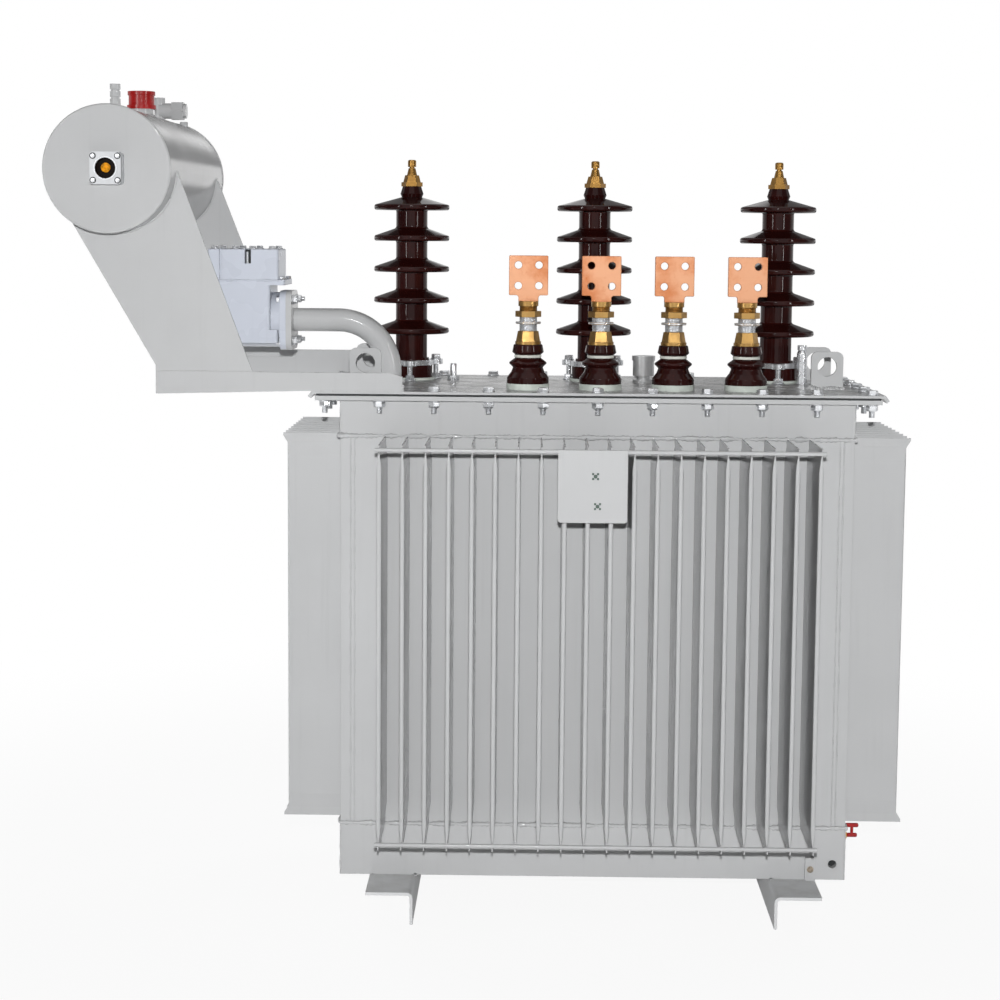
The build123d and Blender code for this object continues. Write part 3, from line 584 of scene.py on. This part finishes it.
class TRANSFORMER_OT_cover_bolts(bpy.types.Operator):
    """Bolts round the cover: heads on top, nuts and thread ends under the flange"""
    bl_idname = "transformer.cover_bolts"
    bl_label = "Cover bolts"

    def execute(self, context):
        size = context.scene.transformer_fasteners
        washer = (size.washer, 2.5 * MM)
        nut = (size.nut_width, 10.5 * MM)
        head = (size.nut_width * 0.97, 7.5 * MM)
        head_turn = 0.4
        end_below, end_long = 13 * MM, 13 * MM
        row_y = (WALL_Y + FLANGE_HIGH.y) / 2
        first_x = FLANGE_LOW.x + size.corner_inset
        columns = spread(first_x, FLANGE_HIGH.x - size.corner_inset, size.front_bolts)
        rows = spread(-row_y, row_y, size.side_bolts)
        places = [(x, y) for x in columns for y in (-row_y, row_y)]
        places += [(x, y) for x in (columns[0], columns[-1]) for y in rows[1:-1]]
        arm_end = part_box("front_support")[1].x
        maker = Maker()
        for n, (x, y) in enumerate(places):
            turn = noise.noise(Vector((x * 31, y * 17, n))) * pi
            under = Vector((x, y, FLANGE_LOW.z))
            maker.bolted(under, -UP, washer, nut, turn)
            maker.thread(under - UP * end_below, -UP, size.bolt_size, end_long, *BOLT_THREAD)
            if abs(y) == row_y and x < arm_end + size.washer:
                continue
            maker.bolted(Vector((x, y, COVER_TOP)), UP, washer, head, turn + head_turn)
        maker.hand_over("cover_bolts", "zinc_steel")
        return {"FINISHED"}


class TRANSFORMER_OT_gasket_edge(bpy.types.Operator):
    """Rubber that swells out between cover and flange along both long sides"""
    bl_idname = "transformer.gasket_edge"
    bl_label = "Gasket edge"

    def execute(self, context):
        half_tall = 2.2 * MM
        half_flat = half_tall * 0.7
        proud, inset = 0.9 * MM, 3 * MM
        edge = max(FLANGE_HIGH.y, COVER_HIGH.y)
        seam = middle("cover_gasket").z
        section = [(edge - inset, -half_tall), (edge, -half_tall), (edge + proud, -half_flat),
                   (edge + proud, half_flat), (edge, half_tall), (edge - inset, half_tall)]
        maker = Maker()
        for side in (-1, 1):
            maker.loft([[Vector((x, side * y, seam + z)) for y, z in section]
                        for x in (FLANGE_LOW.x + inset, FLANGE_HIGH.x - inset)])
        maker.hand_over("gasket_edge", "gasket_rubber")
        return {"FINISHED"}


class TRANSFORMER_OT_tank_welds(bpy.types.Operator):
    """Weld beads round the tank: above and below the fins and down the corners"""
    bl_idname = "transformer.tank_welds"
    bl_label = "Tank welds"

    def execute(self, context):
        bead = context.scene.transformer_fasteners.bead
        proud, loop_ripple = 1.6 * MM, 10 * MM
        seam_inset, seam_gap = 25 * MM, 4 * MM
        seam, seam_ripple = 2.6 * MM, 6 * MM
        corner, corner_ripple = 3 * MM, 5 * MM
        corners = [(TANK_LOW.x if sx < 0 else TANK_HIGH.x, sy * WALL_Y, sx, sy) for sx, sy in CORNERS]
        maker = Maker()
        for z in (FINS_LOW.z, FINS_HIGH.z):
            loop = [Vector((x + sx * proud, y + sy * proud, z)) for x, y, sx, sy in corners]
            maker.bead(loop + loop[:1], bead, loop_ripple, True)
        for x in (TANK_LOW.x + seam_inset, TANK_HIGH.x - seam_inset):
            for y in (-WALL_Y, WALL_Y):
                for gap in (-seam_gap, seam_gap):
                    path = [Vector((x + gap, y, z)) for z in (FINS_LOW.z, FINS_HIGH.z)]
                    maker.bead(path, seam, seam_ripple)
        for x, y, _, _ in corners:
            for bottom, top in ((TANK_LOW.z, FINS_LOW.z), (FINS_HIGH.z, FLANGE_LOW.z)):
                maker.bead([Vector((x, y, bottom)), Vector((x, y, top))], corner, corner_ripple)
        maker.hand_over("tank_welds", "weld_paint", "tank_paint", WELD_SMOOTH)
        return {"FINISHED"}


class TRANSFORMER_OT_fitting_welds(bpy.types.Operator):
    """Fillet beads where lugs, support arms, pipe and skids meet the tank and cover"""
    bl_idname = "transformer.fitting_welds"
    bl_label = "Fitting welds"

    def execute(self, context):
        bead = context.scene.transformer_fasteners.bead
        wide_bead, lug_bead = bead * 1.2, bead * 1.3
        ripple, skid_ripple = 5 * MM, 6 * MM
        lug_wide, lug_thick = 66 * MM, 11 * MM
        arm_end_tall = 14 * MM
        pipe_inset, pipe_radius = 24.5 * MM, 25 * MM
        skid_left, skid_right = 6 * MM, 1 * MM
        maker = Maker()
        low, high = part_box("lifting_lugs")
        for x in (low.x + lug_wide / 2, high.x - lug_wide / 2):
            for y in (low.y + lug_thick / 2, high.y - lug_thick / 2):
                foot = [Vector((x + sx * lug_wide / 2, y + sy * lug_thick / 2, COVER_TOP))
                        for sx, sy in CORNERS]
                maker.bead(foot + foot[:1], lug_bead, ripple, True)
        for node in ("front_support", "rear_support"):
            low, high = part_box(node)
            inner = high.y if node == "front_support" else low.y
            path = [Vector((FLANGE_LOW.x, inner, COVER_TOP)), Vector((high.x, inner, COVER_TOP))]
            maker.bead(path, wide_bead, ripple)
            end = Vector((high.x, (low.y + high.y) / 2, COVER_TOP))
            maker.bead([end, end + UP * arm_end_tall], bead, ripple)
        foot = Vector((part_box("oil_pipe")[1].x - pipe_inset, 0, COVER_TOP))
        ring = [foot + Vector((cos(a), sin(a), 0)) * pipe_radius for a in spread(0, FULL_TURN, 33)]
        maker.bead(ring, wide_bead, ripple, True)
        for node in ("left_foot", "right_foot"):
            low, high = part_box(node)
            for x in (low.x + skid_left, high.x - skid_right):
                path = [Vector((x, y, TANK_LOW.z)) for y in (-WALL_Y, WALL_Y)]
                maker.bead(path, bead, skid_ripple)
        maker.hand_over("fitting_welds", "weld_paint", "tank_paint", WELD_SMOOTH)
        return {"FINISHED"}


class TRANSFORMER_OT_bushing_rings(bpy.types.Operator):
    """Seat rings under the porcelain and white rings below the low-voltage collars"""
    bl_idname = "transformer.bushing_rings"
    bl_label = "Bushing rings"

    def execute(self, context):
        lv_seat = profile((40, 0), (43.6, 0), (43.9, 10.5), (43.2, 12.2), (40, 12.2))
        lv_white = profile((25, 65), (27, 65), (27.6, 66), (27.6, 69.6), (27, 70.6), (25, 70.6))
        hv_seat = profile((45, 0), (50.6, 0), (50.8, 4.4), (50, 5.3), (45, 5.3))
        seats = Maker()
        whites = Maker()
        for n in range(LV_COUNT):
            foot = seat(f"lv_bushing_{n + 1}")
            seats.ring(foot, lv_seat)
            whites.ring(foot, lv_white)
        for name in HV_BUSHINGS:
            seats.ring(seat(f"hv_bushing_{name}"), hv_seat)
        seats.hand_over("seat_rings", "seat_ring", "gasket_rubber")
        whites.hand_over("white_rings", "white_ring", "gasket_rubber")
        return {"FINISHED"}


class TRANSFORMER_OT_clamp_nuts(bpy.types.Operator):
    """Nuts and washers on the studs of the high-voltage clamp rings"""
    bl_idname = "transformer.clamp_nuts"
    bl_label = "Clamp nuts"

    def execute(self, context):
        stud_circle = 60 * MM
        ring_washer, ring_nut = (22 * MM, 2 * MM), (19.5 * MM, 8.5 * MM)
        foot_washer, foot_nut = (26 * MM, 3 * MM), (20 * MM, 9 * MM)
        foot_turn = 0.5
        stud, stud_long, stud_above = 11.4 * MM, 19.8 * MM, 12 * MM
        ring_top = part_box("hv_clamps")[1].z
        maker = Maker()
        for name in HV_BUSHINGS:
            for n in range(3):
                turn = radians(30 + 120 * n)
                foot = seat(f"hv_bushing_{name}") + Vector((cos(turn), sin(turn), 0)) * stud_circle
                if n < 2:
                    maker.bolted(Vector((foot.x, foot.y, ring_top)), UP, ring_washer, ring_nut, turn)
                maker.bolted(foot, UP, foot_washer, foot_nut, turn + foot_turn)
                maker.thread(foot + UP * stud_above, UP, stud, stud_long, *BOLT_THREAD)
        maker.hand_over("clamp_nuts", "zinc_steel")
        return {"FINISHED"}


class TRANSFORMER_OT_stud_threads(bpy.types.Operator):
    """Threads of the low-voltage studs and the pale washers under their nuts"""
    bl_idname = "transformer.stud_threads"
    bl_label = "Stud threads"

    def execute(self, context):
        stud = 37 * MM
        first, first_long = UP * 27 * MM, 15 * MM
        second, third, short = UP * 46 * MM, UP * 68 * MM, 10 * MM
        washer, washer_size = UP * 41.7 * MM, (51.8 * MM, 4.7 * MM)
        lower = Maker()
        upper = Maker()
        for n in range(LV_COUNT):
            axis = middle(f"lv_bushing_{n + 1}")
            foot = Vector((axis.x, axis.y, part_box(f"lv_bushing_{n + 1}")[1].z))
            lower.thread(foot + first, UP, stud, first_long, *STUD_THREAD)
            lower.washer(foot + washer, UP, *washer_size)
            lower.thread(foot + second, UP, stud, short, *STUD_THREAD)
            upper.thread(foot + third, UP, stud, short, *STUD_THREAD)
        lower.hand_over("stud_threads_lower", "zinc_steel")
        upper.hand_over("stud_threads_upper", "brass")
        return {"FINISHED"}


class TRANSFORMER_OT_relay_bolts(bpy.types.Operator):
    """Bolts of the relay and its pipe flanges, dark slabs of painted shade in the notches of its lid, bead
    round its ledge
    """
    bl_idname = "transformer.relay_bolts"
    bl_label = "Relay bolts"

    def execute(self, context):
        low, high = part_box("relay_lid")
        maker = Maker()
        self.lid(maker, low, high)
        self.flanges(maker)
        self.notches(maker, low, high)
        self.rim(low, high)
        maker.hand_over("relay_bolts", "zinc_steel")
        return {"FINISHED"}

    def lid(self, maker, low, high):
        """Bolts on the lid and on the ledge below it."""
        columns, row = (-60 * MM, -17 * MM, 19 * MM, 60 * MM), 57 * MM
        ledge_out, ledge_row = 80.5 * MM, 56 * MM
        centre = (low + high) / 2
        for sy in (-1, 1):
            for n, along in enumerate(columns):
                top = Vector((centre.x + along, centre.y + sy * row, high.z))
                maker.bolted(top, UP, (18 * MM, 1.6 * MM), (15.5 * MM, 5 * MM), n + sy)
            for sx in (-1, 1):
                ledge = Vector((centre.x + sx * ledge_out, centre.y + sy * ledge_row, low.z))
                maker.hexagon(ledge, UP, 12 * MM, 6 * MM, sy)

    def flanges(self, maker):
        """Four bolts through each pair of pipe flanges."""
        out, turn = 43 * MM, 0.3
        inner_depth, outer_depth = 13 * MM, 12 * MM
        washer, head, nut = (20 * MM, 2 * MM), (17.5 * MM, 7 * MM), (17.5 * MM, 8 * MM)
        bolt, end_above, end_long = 10 * MM, 10 * MM, 7 * MM
        pipe_low, pipe_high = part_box("oil_pipe")
        body_low, body_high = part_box("relay_body")
        flange_z = pipe_high.z - (pipe_high.y - pipe_low.y) / 2
        for side, face in ((1, body_high.x), (-1, body_low.x)):
            axis = RIGHT * side
            for sy, sz in SIGNS:
                hole = Vector((face, sy * out, flange_z + sz * out))
                maker.bolted(hole - axis * inner_depth, -axis, washer, head, sz * turn)
                outer = hole + axis * outer_depth
                maker.bolted(outer, axis, washer, nut, sy * turn)
                maker.thread(outer + axis * end_above, axis, bolt, end_long, *FINE_THREAD)

    def notches(self, maker, low, high):
        """Dark slabs of painted shade at the back of the notches in the lid, each with a bolt shank in front.
        """
        notch_x = (low.x + high.x) / 2 + 10.4 * MM
        notch_z = high.z - 30 * MM
        half_wide, half_thick, tall = 6.4 * MM, 0.4 * MM, 29 * MM
        notch_shade_depth, shank_depth, shank_shift = 13.6 * MM, 7 * MM, 2 * MM
        notch_shade = Maker()
        for side, face in ((1, low.y), (-1, high.y)):
            # Painted shade: a dark slab stands deep in each notch.
            back = Vector((notch_x, face + side * notch_shade_depth, notch_z))
            corners = [back + Vector((sx * half_wide, sy * half_thick, 0)) for sx, sy in CORNERS]
            notch_shade.loft([corners, [corner + UP * tall for corner in corners]])
            shank = Vector((notch_x - shank_shift, face + side * shank_depth, notch_z))
            maker.turned(shank, profile((3.2, 0), (3.2, 24), (0, 24.4)), UP, 16)
        notch_shade.hand_over("relay_notches", "gasket_rubber")

    def rim(self, low, high):
        """Bead round the ledge under the lid."""
        drop, width, ripple = 1.5 * MM, 4 * MM, 9 * MM
        ledge = [Vector((low.x if sx < 0 else high.x, low.y if sy < 0 else high.y, low.z - drop))
                 for sx, sy in CORNERS]
        bead = Maker()
        bead.bead(ledge + ledge[:1], width, ripple, True)
        bead.hand_over("relay_rim", "relay_paint")


class TRANSFORMER_OT_gauge(bpy.types.Operator):
    """Glass, oil, screws and seals of the oil-level gauge"""
    bl_idname = "transformer.gauge"
    bl_label = "Oil gauge"

    def execute(self, context):
        glass_depth, oil_depth, oil_rise = 8.8 * MM, 5.6 * MM, 1 * MM
        screw_x, screw_z, screw_lift = 24 * MM, 23.5 * MM, 0.4 * MM
        seal, screw = (12.6 * MM, 0.5 * MM), (9.6 * MM, 2.4 * MM)
        low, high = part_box("oil_gauge")
        centre = (low + high) / 2
        face = Vector((centre.x, low.y, centre.z))
        glass = Maker()
        glass.turned(face - FRONT * glass_depth, profile((20.8, 0), (20.8, 2), (16, 3.4), (0, 3.8)), FRONT, 40)
        glass.hand_over("gauge_glass", "dark_glass", "zinc_steel")
        oil = Maker()
        oil.turned(face - FRONT * oil_depth + UP * oil_rise, profile((9.5, 0), (9, 1.2), (6, 2.4), (0, 2.9)),
                   FRONT, 28)
        oil.hand_over("gauge_oil", "amber", "zinc_steel")
        screws = Maker()
        seals = Maker()
        for sx, sz in SIGNS:
            spot = face + Vector((sx * screw_x, 0, sz * screw_z))
            seals.washer(spot, FRONT, *seal)
            screws.hexagon(spot + FRONT * screw_lift, FRONT, *screw, sx * 0.4 + sz)
        screws.ring(face, profile((20.2, -1), (22.6, -1), (22.6, 1.4), (20.2, 1.4)), FRONT)
        screws.hand_over("gauge_screws", "zinc_steel")
        seals.hand_over("gauge_seals", "gasket_rubber")
        return {"FINISHED"}


class TRANSFORMER_OT_small_fittings(bpy.types.Operator):
    """Cover stud, plate screws, earthing bolt, the rim of the earthing hole and a dark disc of painted shade
    inside it
    """
    bl_idname = "transformer.small_fittings"
    bl_label = "Small fittings"

    def execute(self, context):
        stud = Vector((TANK_X - 304 * MM, 108 * MM, COVER_TOP))
        stud_nut = (26 * MM, 9 * MM)
        hole = Vector((TANK_HIGH.x - 25 * MM, -WALL_Y, TANK_LOW.z + 33 * MM))
        hole_deep = 16 * MM
        boss = Vector((TANK_HIGH.x - 71 * MM, TANK_LOW.y, TANK_LOW.z + 24 * MM))
        metal = Maker()
        metal.hexagon(stud, UP, *stud_nut, 0.2)
        metal.turned(stud + UP * stud_nut[1], profile((7.2, 0), (7.2, 24), (5.8, 26), (0, 26.6)))
        self.plate_screws()
        rim = Maker()
        rim.ring(hole, profile((8.6, -2), (11.5, -2), (11.2, 0.8), (8.8, 1)), FRONT, 32)
        rim.hand_over("earth_hole_rim", "tank_paint")
        metal.hand_over("small_fittings", "zinc_steel")
        earth = Maker()
        earth.bolted(boss, FRONT, (14 * MM, 1.4 * MM), (11 * MM, 4 * MM), 0.3)
        earth.hand_over("earth_bolt", "rust", "zinc_steel")
        # Painted shade: a dark disc deep in the earthing hole.
        dark = Maker()
        dark.turned(hole - FRONT * hole_deep, profile((8.4, 0), (8.4, 1)), FRONT)
        dark.hand_over("earth_hole_floor", "gasket_rubber")
        return {"FINISHED"}

    def plate_screws(self):
        """Two flat screws on the bracket, each in a washer with four claws."""
        places = ((-8.9 * MM, -50.6 * MM), (-4.4 * MM, -108.8 * MM))
        claw_out = 4.7 * MM
        low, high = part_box("nameplate_bracket")
        screws = Maker()
        for x, z in places:
            spot = Vector((TANK_X + x, low.y, high.z + z))
            screws.turned(spot, profile((3.7, 0), (3.7, 0.5), (3.1, 0.8)), FRONT, 20)
            for sx, sz in SIGNS:
                claw = spot + Vector((sx * claw_out, 0, sz * claw_out))
                screws.turned(claw, profile((2.9, 0), (2.9, 0.5), (2.5, 0.7)), FRONT, 4)
        screws.hand_over("plate_screws", "plate_screw", "zinc_steel")


class TRANSFORMER_OT_conservator_trim(bpy.types.Operator):
    """Seams of the conservator's ends, beads along its supports and fittings, and a small boss"""
    bl_idname = "transformer.conservator_trim"
    bl_label = "Conservator trim"

    def execute(self, context):
        seam, seam_ripple = 2.6 * MM, 7 * MM
        fillet, arc_ripple, foot_ripple = 5 * MM, 6 * MM, 5 * MM
        arc = spread(radians(211), radians(359), 30)
        fold_x, fold_rise, fold_long = TANK_LOW.x - 367 * MM, 38 * MM, 194 * MM
        fold_bead, fold_ripple = 1.4 * MM, 9 * MM
        valve_radius = 12 * MM
        boss_x, boss_y, boss_sink = 42 * MM, 318 * MM, 2 * MM
        low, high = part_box("conservator_shell")
        centre = (low + high) / 2
        radius = (high.x - low.x) / 2

        def on_shell(turn, y):
            return Vector((centre.x + radius * cos(turn), y, centre.z + radius * sin(turn)))

        maker = Maker()
        for y in (low.y, high.y):
            maker.bead([on_shell(a, y) for a in spread(0, FULL_TURN, 73)], seam, seam_ripple, True)
        for node in ("front_support", "rear_support"):
            plate_low, plate_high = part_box(node)
            for y in (plate_low.y, plate_high.y):
                maker.bead([on_shell(a, y) for a in arc], fillet, arc_ripple)
            fold = Vector((fold_x, plate_low.y, COVER_TOP + fold_rise))
            maker.bead([fold, fold + RIGHT * fold_long], fold_bead, fold_ripple)
        for node in ("vent_stub", "filler_neck", "breather_valve"):
            base_low, base_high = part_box(node)
            around = valve_radius if node == "breather_valve" else (base_high.x - base_low.x) / 2
            base_y = (base_low.y + base_high.y) / 2
            ring = []
            for a in spread(0, FULL_TURN, 33):
                across = around * cos(a)
                rise = sqrt(radius * radius - across * across)
                ring.append(Vector((centre.x + across, base_y + around * sin(a), centre.z + rise)))
            maker.bead(ring, fillet, foot_ripple, True)
        boss_z = centre.z + sqrt(radius * radius - boss_x ** 2) - boss_sink
        boss = Vector((centre.x + boss_x, boss_y, boss_z))
        maker.turned(boss, profile((9, 0), (9, 9), (7.5, 10.5), (0, 10.8)))
        maker.hand_over("conservator_trim", "tank_paint", "tank_paint", WELD_SMOOTH)
        return {"FINISHED"}


class TRANSFORMER_OT_stage(bpy.types.Operator):
    """Pale floor, soft lamps, white surroundings and the camera"""
    bl_idname = "transformer.stage"
    bl_label = "Stage"

    def execute(self, context):
        scene = context.scene
        stage = scene.transformer_stage
        soft = (1.2, 1.2)
        scene.view_settings.view_transform = "Standard"
        self.floor(stage)
        self.surroundings(scene, stage)
        front = self.lamp("front", (TANK_X - 0.13, -4.36, 1.6), (0.07, 0.07), stage.front)
        front.visible_glossy = False
        front.data.cycles.max_bounces = 1
        for name, side, part in (("side_left", -1, 1.0), ("side_right", 1, 0.4)):
            self.lamp(name, (TANK_X + side * 5.0, 0.6, 1.3), soft, stage.side * part).visible_glossy = False
        for name, side in (("rear_left", -1), ("rear_right", 1)):
            self.lamp(name, (TANK_X + side * 3.4, 4.2, 2.4), soft, stage.rear).visible_glossy = False
        self.lamp("spark", (TANK_X - 0.3, -4.0, 2.7), (0.3, 0.3), stage.spark).visible_diffuse = False
        self.lamp("top", (0.1, 0.5, 4.0), (2.4, 2.4), stage.top)
        for name, x in (("strip_left", -2.2), ("strip_right", 2.6)):
            self.lamp(name, (x, -2.6, 1.9), (0.12, 1.8), stage.strip).visible_diffuse = False
        self.camera(scene, stage)
        return {"FINISHED"}

    def floor(self, stage):
        """Floor that stays pale to the camera and keeps the object's shadow."""
        reach = 6.0
        near_glow, near, away = 0.92, 0.9, 2.6
        mesh = bmesh.new()
        bmesh.ops.create_grid(mesh, x_segments=1, y_segments=1, size=reach)
        data = bpy.data.meshes.new("floor")
        mesh.to_mesh(data)
        mesh.free()
        floor = put("floor", data)
        surface = bpy.data.materials.new("floor")
        wire = blank(surface)
        diffuse = wire.node("ShaderNodeBsdfDiffuse", {}, {"Color": tuple(stage.floor)})
        glow = wire.node("ShaderNodeEmission", {}, {"Color": (1.0, 1.0, 1.0), "Strength": 1.0})
        far = wire.node("ShaderNodeVectorMath", {"operation": "LENGTH"}, {0: place(wire)}, "Value")
        seen = self.seen(wire) * (near_glow + far.clamp(near, away) * (1.0 - near_glow))
        mixed = wire.node("ShaderNodeMixShader", {}, {0: seen, 1: diffuse, 2: glow})
        wire.node("ShaderNodeOutputMaterial", {}, {"Surface": mixed})
        data.materials.append(surface)

    def seen(self, wire):
        """1 for rays from the camera, from gloss and through glass."""
        kinds = ray(wire, "Camera") + ray(wire, "Glossy") + ray(wire, "Transmission")
        return wire.math("MINIMUM", kinds, 1.0)

    def axis(self, wire, name):
        """One part of the direction into the surroundings."""
        there = wire.node("ShaderNodeTexCoord", output="Generated")
        return wire.node("ShaderNodeSeparateXYZ", {}, {0: there}, name)

    def surroundings(self, scene, stage):
        """White to the camera and, but for dim sides and bands, in reflections; a soft level for the rest."""
        deepest = 0.9
        world = bpy.data.worlds.new("surroundings")
        wire = blank(world)
        sideways = wire.math("ABSOLUTE", self.axis(wire, "X"))
        behind = self.axis(wire, "Y")
        height = self.axis(wire, "Z")
        bays = sideways.clamp(0.36, 0.5) * (1.0 - behind.clamp(-0.1, 0.35))
        bands = height.clamp(0.075, 0.1) * sideways.clamp(0.03, 0.08) + (0.0 - height).clamp(0.02, 0.07)
        dim = bays * stage.bays + bands * behind.clamp(0.3, 0.6) * stage.bands
        bright = self.seen(wire) * (1.0 - stage.ambient) + stage.ambient
        strength = bright - ray(wire, "Glossy") * wire.math("MINIMUM", dim, deepest)
        light = wire.node("ShaderNodeBackground", {}, {"Color": (1.0, 1.0, 1.0), "Strength": strength})
        wire.node("ShaderNodeOutputWorld", {}, {"Surface": light})
        scene.world = world

    def lamp(self, name, spot, size, power):
        """Soft lamp of a width and height, aimed at the middle of the tank."""
        aim = Vector((TANK_X, 0, 0.8)) - Vector(spot)
        data = bpy.data.lights.new(name, "AREA")
        data.shape = "RECTANGLE"
        data.size, data.size_y = size
        data.energy = power
        lamp = put(name, data)
        lamp.location = spot
        lamp.rotation_euler = aim.to_track_quat("-Z", "Y").to_euler()
        return lamp

    def camera(self, scene, stage):
        """Camera at the photograph's viewing angle."""
        flat = cos(stage.pitch)
        ahead = Vector((sin(stage.yaw) * flat, cos(stage.yaw) * flat, -sin(stage.pitch)))
        level = ahead.cross(UP).normalized()
        above = level.cross(ahead)
        right = level * cos(stage.roll) + above * sin(stage.roll)
        up = above * cos(stage.roll) - level * sin(stage.roll)
        data = bpy.data.cameras.new("camera")
        data.lens = stage.lens
        data.shift_y = stage.shift
        data.clip_end = 100.0
        camera = put("camera", data)
        turn = Matrix((right, up, -ahead)).transposed()
        camera.matrix_world = Matrix.Translation(RIGHT * TANK_X + Vector(stage.camera)) @ turn.to_4x4()
        scene.camera = camera


class TRANSFORMER_PT_panel(bpy.types.Panel):
    """Lists the operators of the dressing"""
    bl_idname = "TRANSFORMER_PT_panel"
    bl_label = "Power transformer"
    bl_space_type = "VIEW_3D"
    bl_region_type = "UI"
    bl_category = "Transformer"

    def draw(self, context):
        for operator in OPERATORS:
            self.layout.operator(operator.bl_idname)


OPERATORS = (
    TRANSFORMER_OT_finishes,
    TRANSFORMER_OT_cover_bolts,
    TRANSFORMER_OT_gasket_edge,
    TRANSFORMER_OT_tank_welds,
    TRANSFORMER_OT_fitting_welds,
    TRANSFORMER_OT_bushing_rings,
    TRANSFORMER_OT_clamp_nuts,
    TRANSFORMER_OT_stud_threads,
    TRANSFORMER_OT_relay_bolts,
    TRANSFORMER_OT_gauge,
    TRANSFORMER_OT_small_fittings,
    TRANSFORMER_OT_conservator_trim,
    TRANSFORMER_OT_stage,
)
GROUPS = {
    "transformer_finishes": TransformerFinishes,
    "transformer_fasteners": TransformerFasteners,
    "transformer_stage": TransformerStage,
}
CLASSES = (*GROUPS.values(), *OPERATORS, TRANSFORMER_PT_panel)


def register():
    """Registers the classes and hangs the settings on the scene."""
    for group in CLASSES:
        bpy.utils.register_class(group)
    for name, group in GROUPS.items():
        setattr(bpy.types.Scene, name, PointerProperty(type=group))


def unregister():
    """Takes the settings and the classes away again."""
    for name in GROUPS:
        delattr(bpy.types.Scene, name)
    for group in reversed(CLASSES):
        bpy.utils.unregister_class(group)


def main():
    register()
    for operator in OPERATORS:
        family, action = operator.bl_idname.split(".")
        getattr(getattr(bpy.ops, family), action)()


if __name__ == "__main__":
    main()
